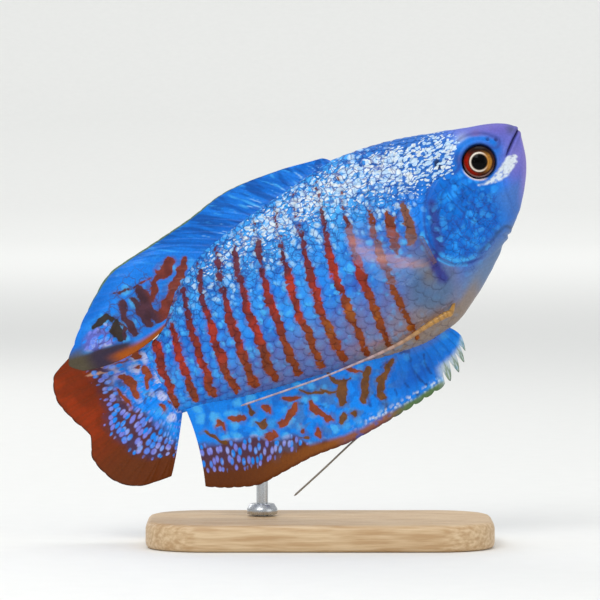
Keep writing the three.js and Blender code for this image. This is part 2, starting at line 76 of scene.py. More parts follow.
def through(*stations):
    """A smooth curve through (place, value) stations: a cubic over each span, whose slope at a
    station is the harmonic mean of the rises beside it, and level where the curve turns."""
    x, y = np.array(stations, float).T
    rise = np.diff(y) / np.diff(x)
    before, after = rise[:-1], rise[1:]
    same = before * after > 0
    total = np.where(same, before + after, 1.0)
    slope = np.concatenate([rise[:1], np.where(same, 2 * before * after / total, 0.0), rise[-1:]])

    def value(at):
        """The curve's value at each place."""
        v = np.clip(at, x[0], x[-1])
        i = np.clip(np.searchsorted(x, v, side="right") - 1, 0, len(x) - 2)
        h = x[i + 1] - x[i]
        k = (v - x[i]) / h
        k2, k3 = k * k, k * k * k
        return (
            (2 * k3 - 3 * k2 + 1) * y[i] + (k3 - 2 * k2 + k) * h * slope[i]
            + (3 * k2 - 2 * k3) * y[i + 1] + (k3 - k2) * h * slope[i + 1]
        )

    return value


def ease(v, start, end):
    """0 before start and 1 after end, with a smooth S between them."""
    k = np.clip((np.asarray(v, float) - start) / (end - start), 0, 1)
    return k * k * (3 - 2 * k)


def hump(v, centre, width):
    """A bell of height 1 round centre."""
    return np.exp(-(((np.asarray(v, float) - centre) / width) ** 2))


def away(u, z, at_u, at_z, wide=1.0, tall=1.0):
    """Distance from a place, counted in the half axes of an ellipse round it."""
    return np.hypot((u - at_u) / wide, (z - at_z) / tall)


def bell(u, z, at_u, at_z, wide, tall=None):
    """A bell of height 1 round a place, as wide and tall as an ellipse's half axes."""
    return hump(away(u, z, at_u, at_z, wide, tall or wide), 0, 1)


def between(low, high, share):
    """What lies at this share of the way from low to high."""
    return low * (1 - share) + high * share


def turns(count):
    """Angles evenly round a circle."""
    return np.linspace(0, 2 * math.pi, count, endpoint=False)


def scatter(i, j, seed):
    """A repeatable number from 0 to 1 for each pair of numbers: the fraction of a large sine."""
    wave = np.sin(i * 127.1 + j * 311.7 + seed * 74.7) * 43758.5453
    return wave - np.floor(wave)


def lattice(x, y, seed):
    """Scatter at the corners of a unit square lattice, eased between them."""
    i, j = np.floor(x), np.floor(y)
    fx, fy = ease(x - i, 0, 1), ease(y - j, 0, 1)
    low = between(scatter(i, j, seed), scatter(i + 1, j, seed), fx)
    high = between(scatter(i, j + 1, seed), scatter(i + 1, j + 1, seed), fx)
    return between(low, high, fy)


def cloud(x, y, size, seed):
    """Smooth mottling from 0 to 1: two lattices turned against each other, the second half as large
    and half as strong, spread to fill the range."""
    gx, gy = x / size, y / size
    broad = lattice(0.8 * gx - 0.6 * gy, 0.6 * gx + 0.8 * gy, seed)
    small = lattice(1.9 * gx + 0.9 * gy + 7, 1.9 * gy - 0.9 * gx + 3, seed + 0.5)
    return np.clip(0.5 + 1.3 * (0.64 * broad + 0.36 * small - 0.5), 0, 1)


def warp(x, y, size, amount, seed):
    """A place pushed about by mottling, so that patterns drawn there lose their straight lines."""
    push_x, push_y = [cloud(x, y, size, each) - 0.5 for each in (seed, seed + 1)]
    return x + amount * push_x, y + amount * push_y


def cells(x, y, size, seed):
    """Distance to the nearest of one jittered point per lattice square, as a share of the lattice
    size, and a number from 0 to 1 that belongs to that point."""
    gx, gy = x / size, y / size
    i0, j0 = np.floor(gx) - 1, np.floor(gy) - 1
    nearest, owner = np.full(np.shape(gx), 9.0), np.zeros(np.shape(gx))
    for di, dj in np.ndindex(3, 3):
        i, j = i0 + di, j0 + dj
        px = i + 0.15 + 0.7 * scatter(i, j, seed)
        py = j + 0.15 + 0.7 * scatter(i, j, seed + 5)
        d = np.hypot(gx - px, gy - py)
        owner = np.where(d < nearest, scatter(i, j, seed + 9), owner)
        nearest = np.minimum(nearest, d)
    return nearest, owner


def smooth_line(stations, count=40):
    """Points of a uniform Catmull-Rom line through the stations."""
    p = np.array(stations, float)
    p = np.concatenate([p[:1], p, p[-1:]])
    t = np.linspace(0, len(stations) - 1, count)
    i = np.minimum(t.astype(int), len(stations) - 2)
    k = (t - i)[:, None]
    a, b, c, d = p[i], p[i + 1], p[i + 2], p[i + 3]
    v0, v1 = (c - a) / 2, (d - b) / 2
    return (2 * b - 2 * c + v0 + v1) * k**3 + (-3 * b + 3 * c - 2 * v0 - v1) * k**2 + v0 * k + b


def to_line(u, z, line):
    """Distance from each point to the nearest place on a line of points, and that place's share of
    the line, by dropping a perpendicular on every span and keeping the shortest."""
    p = np.stack([u, z], -1).reshape(-1, 1, 2)
    a, b = line[None, :-1], line[None, 1:]
    along = ((p - a) * (b - a)).sum(-1) / ((b - a) ** 2).sum(-1)
    along = np.clip(along, 0, 1)
    d = np.linalg.norm(p - a - (b - a) * along[..., None], axis=-1)
    i = d.argmin(1)
    rows = np.arange(len(d))
    share = (i + along[rows, i]) / (len(line) - 1)
    return d[rows, i].reshape(u.shape), share.reshape(u.shape)


def inside(u, z, loop):
    """True where a point lies inside a closed line: it crosses an odd number of spans."""
    x, y = u.reshape(-1, 1), z.reshape(-1, 1)
    a, b = loop, np.roll(loop, -1, 0)
    across = (a[:, 1] > y) != (b[:, 1] > y)
    fall = np.where(a[:, 1] == b[:, 1], 1.0, b[:, 1] - a[:, 1])
    where = a[:, 0] + (y - a[:, 1]) * (b[:, 0] - a[:, 0]) / fall
    return ((across & (x < where)).sum(1) % 2 == 1).reshape(u.shape)


# The body's outline and sections
back = through(
    (-1.2, 3.1), (-0.6, 3.9), (0.4, 4.7), (2.4, 5.7), (6, 6.9), (10, 8.4), (15, 10.1), (20, 11.3),
    (26, 12), (32, 11.5), (42, 10.4), (49, 9.2), (54, 6.8), (57, 4.6), (59.5, 2.2), (61.5, 0.8),
    (64, 0.5),
)
belly = through(
    (-1.2, 2.5), (-0.9, 1), (0, -1.9), (2, -5.2), (4.5, -8.1), (8, -10.9), (12, -14), (16, -16.5),
    (21, -18.7), (26, -19.2), (31, -18.5), (38, -16.9), (46, -15.3), (55, -13.3), (60, -11.8),
    (64, -11.2),
)
middle = through(
    (-1.2, 2.8), (0, 1), (5, -0.6), (10, -1.8), (20, -3.2), (36, -3.4), (50, -3.4), (58, -4.4),
    (64, -5.2),
)
half_width = through(
    (-1.2, 0.35), (-0.7, 1.05), (0, 1.6), (2, 2.6), (5, 3.8), (8, 4.7), (12, 5.5), (17, 6.2),
    (22, 6.4), (28, 6.2), (36, 5.6), (44, 4.8), (52, 3.7), (58, 2.7), (62, 1.9), (64, 1.5),
)
upper_pinch = through((0, 0.85), (10, 0.95), (26, 1.2), (50, 1.25), (64, 0.9))
lower_pinch = through((0, 0.85), (10, 1), (20, 1.1), (32, 1.3), (64, 0.9))


def sway(u):
    """How far the tail swings to the left: the square of the share past the middle of the body."""
    return TAIL_SWAY * np.maximum(0, (u - SWAY_FROM) / (FISH_LENGTH - SWAY_FROM)) ** 2


def half_section(u, upper):
    """The widest line's height, and the section's reach and pinch above or below it."""
    mid = middle(u)
    reach = np.where(upper, back(u) - mid, mid - belly(u))
    return mid, reach, np.where(upper, upper_pinch(u), lower_pinch(u))


def section(u, angle):
    """Half width and height of the skin where its section stands at this angle above its widest
    line: cosine to the power of the pinch, and sine, times the reach up or down."""
    rise, out = np.sin(angle), np.clip(np.cos(angle), 0, 1)
    mid, reach, pinch = half_section(u, rise > 0)
    return half_width(u) * out**pinch, mid + reach * rise


def flank(u, z):
    """Half width of the body at height z."""
    mid, reach, pinch = half_section(u, z > middle(u))
    share = np.clip(np.abs(z - mid) / reach, 0, 1)
    return half_width(u) * np.sqrt(1 - share * share) ** pinch


# Distances up and down the section from its widest line, by station and angle
GIRTH_U = np.linspace(NOSE_U, STEM_END_U, 260)
GIRTH_ANGLE = np.linspace(-math.pi / 2, math.pi / 2, 181)
_wide, _high = section(GIRTH_U[:, None], GIRTH_ANGLE[None, :])
_steps = np.hypot(np.diff(_wide, axis=1), np.diff(_high, axis=1))
GIRTH = np.insert(np.cumsum(_steps, 1), 0, 0, 1)
GIRTH -= GIRTH[:, len(GIRTH_ANGLE) // 2, None]


def girth_row(u):
    """The row of distances at each station, blended between the two nearest of the table."""
    at = (np.clip(u, NOSE_U, STEM_END_U) - NOSE_U) / (GIRTH_U[1] - GIRTH_U[0])
    i = np.minimum(at.astype(int), len(GIRTH_U) - 2)
    return between(GIRTH[i], GIRTH[i + 1], (at - i)[:, None])


def angle_at(u, distance):
    """Section angle at a distance up (+) or down (-) the skin from the widest line."""
    shape = np.broadcast(u, distance).shape
    u, distance = [np.broadcast_to(v, shape).ravel() for v in (u, distance)]
    row = girth_row(u)
    i = np.clip((row < distance[:, None]).sum(1) - 1, 0, len(GIRTH_ANGLE) - 2)
    here = np.arange(len(u))
    low, high = row[here, i], row[here, i + 1]
    k = np.clip((distance - low) / np.maximum(high - low, 1e-9), 0, 1)
    return (GIRTH_ANGLE[i] + k * (GIRTH_ANGLE[1] - GIRTH_ANGLE[0])).reshape(shape)


# Lines of the head
MOUTH = smooth_line([(-1.25, 2.85), (0.2, 1.95), (1.4, 1.05), (2.5, 0.1)])
JAW = smooth_line([(3.3, -0.9), (4.4, -3.2), (4.9, -6), (5, -9.5)])
COVER = smooth_line([
    (14.4, 1.5), (16.5, -0.8), (18, -4), (18.3, -7.6), (16.9, -10), (14.3, -11.1), (11, -11),
    (9.4, -9.6), (11.2, -7.2), (12.1, -3.6), (12, 0.4), (12.8, 2.2), (14.4, 1.5),
], 90)
COVER_REAR = smooth_line([(15.6, -0.8), (16.7, -3.9), (17.6, -7.2)])
# Lines of a painted shadow under the gill cover's rear edge and of a painted highlight along its
# lower edge
COVER_SHADOW = smooth_line([(18.9, -7.6), (19.4, -9.2), (19.2, -11.4)])
COVER_GLEAM = smooth_line([(18.5, -8.6), (17.2, -10.2), (15.2, -11.3)])
CHEEK = smooth_line([(9.6, 0.2), (10.9, -2.6), (10.8, -6), (9, -9.2), (6.8, -11)])
THROAT = smooth_line([(5, -9.5), (8, -11.2), (11, -12.2), (14.5, -12.6), (17.5, -11.8)])
FOLD_SHADE = smooth_line([(6.6, -9.8), (7.6, -9.0), (10.3, -9.9), (12.6, -10.6)])
# A line of painted shade along a crease of the jaw and throat
BROW = smooth_line([(3.1, 2.9), (4.6, 4.3), (6.8, 4.9), (9, 4.1), (10.2, 2.6)])
STREAK = smooth_line([
    (1.4, -0.4), (2.6, -1.1), (4.1, -1.7), (5.4, -1.95), (6.8, -1.95), (8.1, -1.6),
])
streak_width = through((0, 0.5), (0.12, 0.95), (0.35, 0.9), (0.6, 0.55), (0.8, 0.26), (1, 0.1))
NOSTRILS = ((2.6, 3.1), (3.7, 3.7))


def relief(u, z, depth):
    """How far the skin stands out of the plain section, in millimetres: sunk by the depth of the
    scales, up on the gill cover, lips, brow and rim of the eye, and down in the mouth line, the
    socket, the nostrils and the folds of the jaw and throat. Each is a bell across its line."""
    out = -depth * ease(u, 6, 12)
    head = u < 21
    u, z = u[head], z[head]
    to_cover = to_line(u, z, COVER)[0]
    to_cover = np.where(inside(u, z, COVER), to_cover, -to_cover)
    h = 0.13 * ease(to_cover, -0.12, 0.5) + 0.12 * ease(to_cover, 0.3, 3)
    h -= (0.06 + 0.2 * ease(u, 11.5, 14)) * hump(to_cover, -0.26, 0.2)
    to_cheek = to_line(u, z, CHEEK)[0]
    h += -0.16 * hump(to_cheek, 0, 0.22) + 0.12 * hump(to_cheek, 0.55, 0.4)
    to_mouth, share = to_line(u, z, MOUTH)
    lips = (0.12 + 0.16 * ease(share, 0.1, 0.5)) * hump(to_mouth, 0.46, 0.3)
    h += (-0.5 * hump(to_mouth, 0, 0.15) + lips) * (0.2 + 0.8 * ease(share, 1.0, 0.8))
    to_jaw, share = to_line(u, z, JAW)
    h += (-0.2 * hump(to_jaw, 0, 0.2) + 0.08 * hump(to_jaw, 0.5, 0.3)) * ease(share, 1, 0.6)
    h -= 0.16 * hump(to_line(u, z, THROAT)[0], 0, 0.2)
    h += 0.2 * hump(to_line(u, z, BROW)[0], 0, 0.55)
    from_eye = away(u, z, EYE_U, EYE_Z)
    h += 0.2 * hump(from_eye, 2.85, 0.26) - 1.5 * ease(from_eye, 2.58, 2.32)
    for place in NOSTRILS:
        r = away(u, z, *place)
        h += 0.06 * hump(r, 0.45, 0.14) - 0.3 * hump(r, 0, 0.26)
    h += 0.05 * (cloud(u, z, 1.3, 3) - 0.5) * ease(u, -1, 3)
    out[head] += h
    return out


def bare(u, angle, side):
    """The plain skin: the section's point on this side, moved by the tail's swing."""
    y, z = section(u, angle)
    return np.stack([-u, side * y + sway(u), z], -1)


def skin_at(u, angle, side, lift, depth):
    """Points over the skin, in the fish's frame: the plain skin, moved by its relief and the lift
    along its normal, which is the cross product of its slopes along u and round the section."""
    step, tilt, steepest = 0.08, 0.02, 1.53
    u, angle = np.broadcast_arrays(np.asarray(u, float), angle)
    a = np.clip(angle, -steepest, steepest)
    along = bare(np.minimum(u + step, STEM_END_U), a, side)
    along -= bare(np.maximum(u - step, NOSE_U), a, side)
    round_ = bare(u, a + tilt, side) - bare(u, a - tilt, side)
    normal = np.cross(along, round_) * side
    normal /= np.maximum(np.linalg.norm(normal, axis=-1, keepdims=True), 1e-9)
    point = bare(u, angle, side)
    return point + normal * (relief(u, point[..., 2], depth) + lift)[..., None]


def in_room(points):
    """Fish millimetres to the stand's metres: turned nose-up about the snout, then moved to it."""
    x, y, z = np.moveaxis(points, -1, 0)
    c, s = math.cos(PITCH), math.sin(PITCH)
    return np.stack([SNOUT_X + x * c - z * s, y, SNOUT_Z + x * s + z * c], -1) * MM


# Bars of the flank: where each crosses the line 5 mm below the fish's axis, how high it reaches
# and how strong it is
BARS = (
    (20.7, 0.5, 0.55), (23.2, 0.5, 0.7), (25.8, 2.4, 0.75), (29.6, 3.2, 0.9), (33.4, 6.5, 1),
    (37.1, 5.2, 1), (40.4, 5.4, 1), (44.1, 6.2, 1), (47.6, 6.6, 1), (50.7, 6.8, 1),
    (53.8, 6.4, 1), (56.9, 5.4, 1), (59.8, 1, 1), (62.8, 0.5, 1),
)
BAR_LINE_Z = -5.0
FRONT_BARS = range(2)  # the two that end above the breast
LONG_BARS = range(3, 11)  # those that run up into the pale back


def bar_shift(z):
    """How far a bar lies behind its crossing: a shallow parabola, leaning back downwards."""
    d = z - BAR_LINE_Z
    return -0.17 * d - 0.007 * d * d


def bar_depth(u, z, side):
    """How deep a place lies in the nearest bar, in millimetres, below zero outside: the bar's half
    width less the distance from its leaning middle. Above its top a bar narrows to a thin line that
    ends in the pale back, and it fades out just above the belly."""
    depth = np.full(np.shape(u), OUTSIDE)
    wobble = 0.7 * (cloud(u, z, 2.4, 13 + side) - 0.5)
    foot = 1.6 * ease(z, belly(u) + 1.5, belly(u) + 0.2)
    full = 0.38 + 0.25 * ease(z, 4.5, -3.5) - 0.08 * ease(z, -11, -16)
    for k, (place, top, strength) in enumerate(BARS):
        off = np.abs(u - place - bar_shift(z) + wobble)
        half = full * (0.5 + 0.5 * strength) * (1 - 0.7 * ease(z, top - 0.4, top + 1.2))
        end = ridge(u) + 1.2 if k in LONG_BARS else top + 1.4
        half = half - foot - 1.6 * ease(z, end - 0.6, end + 0.8)
        if k in FRONT_BARS:
            half = half + 0.2 - 1.8 * ease(z, -4.0, -6.5)
        depth = np.maximum(depth, half - off)
    return depth


def strokes(u, z, lines, seed):
    """Share covered by brush strokes: smooth lines with their own half widths and ragged edges."""
    ragged = 0.6 * (cloud(u, z, 0.9, seed) - 0.5) + 0.16 * (cloud(u, z, 0.3, seed + 1) - 0.5)
    ragged = ragged * ease(u, 18, 22)
    cover = np.zeros(np.shape(u))
    for half, *stations in lines:
        far = to_line(u, z, smooth_line(stations, STROKE_POINTS))[0]
        cover = np.maximum(cover, ease(far + ragged, half + 0.12, half - 0.1))
    return cover


def stroke_depth(u, z, lines, seed):
    """How deep a place, pushed about by mottling, lies in the nearest brush stroke: its half width,
    which swells and thins and narrows to both ends, less the distance to it."""
    swell = 0.7 * (cloud(u, z, 1.1, seed + 2) - 0.45)
    u, z = warp(u, z, 1.7, 1.1, seed)
    depth = np.full(u.shape, OUTSIDE)
    for half, *stations in lines:
        far, share = to_line(u, z, smooth_line(stations, STROKE_POINTS))
        taper = 0.78 + 0.6 * np.sin(np.clip(share, 0.02, 0.98) * math.pi) ** 0.7
        depth = np.maximum(depth, half * (taper + swell) - far)
    return depth


# The pale upper back: the height, brightness and half width of its ridge of light
ridge = through((7, 4.2), (12, 5.2), (20, 7.8), (30, 9.6), (40, 9.0), (50, 7.2))
ridge_bright = through(
    (5, 0), (8, 0.85), (11, 1), (18, 1), (24, 0.95), (32, 0.9), (42, 0.85), (50, 0.6), (57, 0.15)
)
ridge_wide = through((6, 2.4), (12, 4.8), (22, 5.4), (34, 5.3), (50, 4.7))
# Short strokes on the cheek and gill cover, behind and below the eye, and one on the tail's root:
# half width, then the places each runs through
CHEEK_MARKS = (
    (0.07, (11.2, 0.9), (10.4, -2.2), (10.0, -5.3)), (0.07, (10.2, -0.2), (8.8, -3.1), (8.4, -6.2)),
    (0.06, (11.7, -0.7), (11.4, -3.7), (12.6, -4.8)),
    (0.07, (13.1, 1.3), (12.9, -1.3), (11.8, -4.4)),
    (0.06, (10.2, -1.5), (12.9, -3.0), (15.1, -4.7)), (0.06, (9.1, -2.1), (8.2, -4.2), (8.4, -5.4)),
    (0.06, (13.7, -3.8), (13.5, -6.4), (13.0, -8.7)),
    (0.06, (12.1, -3.8), (11.2, -6.0), (9.7, -6.3)),
    (0.07, (13.5, -0.2), (14.8, -1.9), (16.0, -3.0)),
    (0.06, (9.7, -4.7), (11.5, -6.6), (12.2, -8.3)),
    (0.06, (14.6, -5.4), (16.4, -6.5)), (0.06, (12.2, 0.6), (14.4, -0.6)),
    (0.06, (14.2, 0.9), (14.0, -3.0)), (0.06, (15.6, -1.6), (14.6, -4.6), (15.2, -7.4)),
    (0.05, (8.0, -2.6), (7.2, -5.0)),
)
STEM_MARKS = ((0.55, (52.8, 8.6), (55.4, 6.2), (58.2, 3.2), (59.6, 2.0)),)


def pale_share(u, z):
    """How pale the upper back is: a bell round the ridge of light under the dorsal fin."""
    return np.clip(ridge_bright(u) * (0.15 + hump(z, ridge(u), ridge_wide(u))), 0, 1)


def cheek_share(u, z):
    """How far a place belongs to the bright cheek: the gill cover and the skin in front of it."""
    cheek = ease(u, 17.5, 13) * ease(u, 4.5, 7) * ease(z, 2.4, 0.2)
    cheek = cheek * ease(z, belly(u) + 1.5, belly(u) + 4)
    return np.maximum(cheek, inside(u, z, COVER) * 1.0)


def bar_tone(u, z, side):
    """Colours of the bars: plum at the top, red in the middle, orange-brown low and in front."""
    amber = ease(cloud(u, z, 1.5, 33 + side), 0.5, 0.75) * ease(z, -5, -10) * ease(u, 46, 34)
    return lay(
        "bar",
        ("plum", 0.8 * ease(z, -4, 4) * ease(u, 60, 54)),
        ("ember", 0.85 * ease(cloud(u, z, 1.9, 31 + side), 0.45, 0.7) * ease(z, 3, -1)),
        ("rust", 0.8 * ease(z, -5, -10) + 0.75 * ease(u, 31, 25)),
        ("amber", 0.6 * amber),
        ("dun", 0.6 * ease(u, 22.4, 20.8)),
    )


def skin_marks(u, z, side, bar_u):
    """Sizes of the fine markings: how far the pale dashes and the dark net reach from their
    middles, as shares of their cells, below zero where there are none; the strength of the light
    cells; and the depth into a bar, read at a place of its own so that scales can notch the bars'
    edges."""
    low_edge = belly(u)
    eye = ease(away(u, z, EYE_U, EYE_Z), 3.4, 4.2)
    cheek = cheek_share(u, z)
    plain = (1 - cheek) * eye * ease(u, 6.2, 8.6)
    pale = pale_share(u, z) * ease(z, -3, 1.5) * plain
    pale = pale * (1 - 0.45 * ease(z, back(u) - 2.4, back(u) - 0.4) * ease(u, 9, 14))
    body = ease(u, 15, 20)
    net = body * 0.075 * ease(z, -5, 5) + 0.045 * cheek * eye * ease(z, -2.5, -4.5)
    dull = ease(away(u, z, 21.4, -11.0, 4.6, 4.6), 1.3, 0.8)
    glint = body * (1 - 0.9 * dull) * (0.3 + 0.6 * ease(z, -12, -4))
    glint = glint * ease(z, low_edge, low_edge + 3) + 0.32 * cheek * ease(z, 1, -3)
    return {
        "pale": NO_SPOT + 0.74 * pale - 0.02 * ease(pale, 0.8, 1) * ease(u, 20, 14),
        "net": NO_NET + (0.06 + net) * np.minimum(1, plain + cheek) * ease(net, 0, 0.02),
        "glint": glint * eye * ease(u, 5, 9),
        "bar": bar_depth(bar_u, z, side),
    }


def skin_colour(u, z, side):
    """The fish's colours at a place on its side, as layers from the base azure up: pale back, grey
    lower flank, beige belly and the head, with painted shade in its eye socket, mouth line,
    nostrils and jaw fold and painted highlights and a painted shadow on its gill cover. The fine
    markings lie over these in the material."""
    wu, wz = warp(u, z, 1.4, 0.9, 19 + side)
    mottle = cloud(u, z, 3.1, 21 + side)
    patchy = 0.5 + 0.5 * mottle
    off_cell, own = cells(wu, wz * 0.8, 1.15, 25 + side)
    gap = ease(cloud(wu * 1.25, wz * 0.8, 1.15, 27 + side), 0.46, 0.22) * ease(u, 17, 21)
    low_edge = belly(u)
    low = ease(z, -5.5, -11.5) * ease(u, 60, 48) * ease(u, 9, 18)
    beige = hump(u, 22.5, 8.5) * ease(z, -9.5, -15) * (0.75 + 0.25 * mottle)
    keel = ease(z, low_edge + 3.0, low_edge + 1.4) * ease(u, 12, 16) * ease(u, 40, 30)
    body = lay(
        "azure",
        ("deep", 0.6 * ease(mottle, 0.6, 0.2) + 0.12 * ease(z, 4, 9) * ease(u, 14, 20)),
        ("sky", (0.3 * ease(mottle, 0.5, 0.9) + 0.6 * ease(z, -1, 4)) * ease(u, 18, 25)),
        ("nape", 0.7 * ease(z, 1, 3.5) * ease(u, 8, 10) * ease(u, 26, 17)),
        (lay("dark_cell", ("deep", ease(z, -6, 1))), 0.62 * gap),
        ("lavender", low * (0.7 + 0.3 * ease(mottle, 0.3, 0.8))),
        ("belly", np.maximum(0.9 * beige, 0.92 * keel)),
        ("ochre", 0.55 * hump(z, low_edge + 2.7, 0.8) * ease(u, 19, 22) * ease(u, 42, 30)),
        ("rust", 0.85 * strokes(u, z, STEM_MARKS, 37)),
        ("breast", 0.75 * ease(away(wu, wz, 21.4, -11.6, 4.6, 4.4), 1.25, 0.5)),
        ("khaki", 0.65 * ease(away(wu, wz, 20.8, -8.0, 1.9, 4.2), 1.3, 0.4) * patchy),
        ("dove", 0.55 * ease(away(wu, wz, 24.6, -6.4, 3.2, 2.2), 1.3, 0.4) * patchy),
    )
    off_rim, covered = to_line(u, z, COVER)[0], inside(u, z, COVER)
    cheek = cheek_share(u, z)
    line = -6.6 - 0.34 * u
    throat = ease(z, line + 1.6, line - 0.8) * ease(u, 20, 15)
    throat = np.maximum(throat, 0.85 * ease(u, 8.5, 4.5) * ease(z, -3, -5))
    forehead = ease(z, back(u) - 2.4, back(u) - 0.8) * ease(u, 11, 6)
    cover_edge_highlight = covered * hump(off_rim, 0.4, 0.3) * ease(z, -7.6, -8.8) * ease(u, 12.5, 15)
    off_brow = to_line(u, z, BROW)[0]
    off_streak, share = to_line(u, z, STREAK)
    width = streak_width(share) + 0.3 * (cloud(u * 0.5, z, 0.4, 49) - 0.5)
    flecks = ease(cloud(u * 0.5 - z * 0.3, z, 0.3, 51), 0.62, 0.8)
    from_eye = away(u, z, EYE_U, EYE_Z)
    turn = np.arctan2(z - EYE_Z, u - EYE_U)
    crescent = hump(from_eye, 2.66, 0.15) * ease(np.cos(turn + 0.75), 0.62, 0.92)
    off_mouth, share = to_line(u, z, MOUTH)
    nostril = np.minimum(*[away(u, z, *place) for place in NOSTRILS])
    return lay(
        body,
        ("cheek", cheek),
        ("deep", cheek * (0.55 * ease(own, 0.5, 0.2) + 0.25 * (1 - mottle))),
        ("cheek_glow", cheek * 0.7 * ease(own, 0.6, 0.8) * ease(off_cell, 0.55, 0.3)),
        ("ink", 0.8 * strokes(u, z, CHEEK_MARKS, 39) * cheek),
        ("violet", 0.85 * ease(u, 6.0, 2.0) * ease(z, -9, -2)),
        ("throat", 0.92 * throat),
        ("slate", 0.8 * throat * ease(z, line + 0.4, line - 2.4)),
        ("belly", 0.85 * keel * ease(u, 12.5, 17)),
        ("lilac", 0.8 * ease(z, low_edge + 2.2, low_edge + 0.4) * ease(u, 5, 1.5)),
        ("lilac", 0.5 * bell(u, z, 1.0, -0.5, 1.8)),
        ("cheek", 0.85 * bell(u, z, 3.3, 1.9, 1.25, 1.5625)),
        ("violet", 0.75 * forehead * ease(mottle, 0.0, 0.6)),
        ("plum_spot", 0.5 * bell(u, z, 5.0, 5.0, 0.8)),
        ("silver", 0.5 * bell(u, z, 7.2, 5.6, 1.0, 0.7)),
        ("indigo", 0.85 * ease(to_line(u, z, COVER_REAR)[0], 1.15, 0.3)),
        # Painted light on the gill cover: highlights along its lower edge and a painted shadow
        # under its rear edge
        ("sky", 0.9 * cover_edge_highlight),
        ("cover_shadow", 0.92 * ease(to_line(u, z, COVER_SHADOW)[0], 1.25, 0.4)),
        ("sky", 0.85 * ease(to_line(u, z, COVER_GLEAM)[0], 0.34, 0.12)),
        # Painted shade along the jaw's crease
        ("fold", 0.55 * hump(to_line(u, z, FOLD_SHADE)[0], 0, 0.3)),
        ("cheek", 0.85 * hump(off_brow, 0.1, 0.35)),
        ("indigo", 0.6 * hump(off_brow, 0.85, 0.3)),
        ("indigo", 0.6 * bell(u, z, 8.9, 3.4, 1.0)),
        ("silver", ease(off_streak, width + 0.12, width - 0.2) * (0.9 - 0.6 * flecks)),
        # Painted shade: the sunk socket round the eye darkened
        ("socket", 0.92 * ease(from_eye, 2.8, 2.5)),
        ("crescent", 0.9 * crescent),
        ("socket", 0.85 * ease(away(u, z, 12, 4, 0.5, 0.85), 1.15, 0.85)),
        # Painted shade in the mouth line's groove
        ("mouth", 0.7 * hump(off_mouth, 0, 0.2) * ease(share, 1, 0.6)),
        ("lip", 0.5 * bell(u, z, -0.2, 3.4, 0.8)),
        # Painted shade in the nostril pits
        ("mouth", 0.5 * ease(nostril, 0.36, 0.18)),
        ("indigo", 0.6 * hump(off_rim, 0.28, 0.22) * ~covered * ease(u, 11, 14)),
    )


def skin_paints(u, z, side, bar_u=None):
    """What the skin's material reads at a place: its paint, the tone of its bars and the sizes of
    its markings."""
    marks = skin_marks(u, z, side, u if bar_u is None else bar_u)
    return {"paint": skin_colour(u, z, side), "tone": bar_tone(u, z, side), **marks}


def to_scene(name, data):
    """Adds an object of this data to the scene."""
    made = bpy.data.objects.new(name, data)
    bpy.context.scene.collection.objects.link(made)
    return made


def solid(name, points, faces, material):
    """A smooth shaded object at the origin, from its points in metres and its faces."""
    mesh = bpy.data.meshes.new(name)
    mesh.from_pydata(points.reshape(-1, 3).tolist(), [], faces)
    mesh.polygons.foreach_set("use_smooth", np.ones(len(faces), bool))
    mesh.materials.append(material)
    return to_scene(name, mesh)


def put(name, points, faces, stands_for, material, paints, bake_map=None):
    """Makes a piece from its points in the stand's metres and its faces, with colours and plain
    numbers per point, and where it has one, the place of each point on the map for baking."""
    piece = solid(name, points, faces, material)
    mesh = piece.data
    for label, grid in paints.items():
        flat = grid.reshape(len(mesh.vertices), -1)
        kind, field = "FLOAT", "value"
        if flat.shape[1] == 3:
            kind, field, flat = "FLOAT_COLOR", "color", np.insert(flat, 3, 1.0, 1)
        mesh.attributes.new(label, kind, "POINT").data.foreach_set(field, flat.ravel())
    if bake_map is not None:
        corner = np.zeros(len(mesh.loops), int)
        mesh.loops.foreach_get("vertex_index", corner)
        layer = mesh.uv_layers.new(name="OFBake")
        layer.data.foreach_set("uv", bake_map.reshape(-1, 2)[corner].ravel())
    mesh.update()
    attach(piece, "root")
    if stands_for:
        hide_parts(*stands_for)


def grid_of(*parts):
    """Coordinates spread over one grid and joined to points."""
    return np.stack(np.broadcast_arrays(*parts), -1)


def ring_faces(count, around):
    """Quads of a tube of rings, each ring closed on itself."""
    i, j = np.meshgrid(np.arange(count - 1), np.arange(around), indexing="ij")
    a, b = i * around + j, i * around + (j + 1) % around
    return np.stack([a, b, b + around, a + around], -1).reshape(-1, 4)


def with_ends(per_ring):
    """Values per ring point, with each end's mean added for its pole."""
    flat = per_ring.reshape(-1, *per_ring.shape[2:])
    return np.concatenate([flat, per_ring[:1].mean(1), per_ring[-1:].mean(1)])


def put_tube(name, rings, stands_for, material, paints=None, flip=False):
    """Makes a piece from the rings of a tube, whose two ends close in a fan to their middles."""
    count, around = rings.shape[:2]
    j = np.arange(around)
    k = (j + 1) % around
    last, pole = (count - 1) * around, np.full(around, count * around)
    fans = np.concatenate([np.stack([k, j, pole], 1), np.stack([last + j, last + k, pole + 1], 1)])
    order = slice(None, None, -1 if flip else 1)
    faces = ring_faces(count, around)[:, order].tolist() + fans[:, order].tolist()
    paints = {label: with_ends(grid) for label, grid in (paints or {}).items()}
    put(name, with_ends(rings), faces, stands_for, material, paints)


def sheet_faces(n, m, flip):
    """Quads of a closed sheet: the n by m grids of its two faces, one after the other, joined round
    the edge."""
    i, j = np.meshgrid(np.arange(n - 1), np.arange(m - 1), indexing="ij")
    a = (i * m + j).ravel()
    quad = np.stack([a, a + m, a + m + 1, a + 1], 1)
    edge = np.concatenate([
        np.arange(m), np.arange(1, n) * m + m - 1, (n - 1) * m + np.arange(m - 2, -1, -1),
        np.arange(n - 2, 0, -1) * m,
    ])
    after, far = np.roll(edge, -1), n * m
    rim = np.stack([edge, after, after + far, edge + far], 1)
    faces = np.concatenate([quad, quad[:, ::-1] + far, rim])
    return faces[:, ::-1] if flip else faces


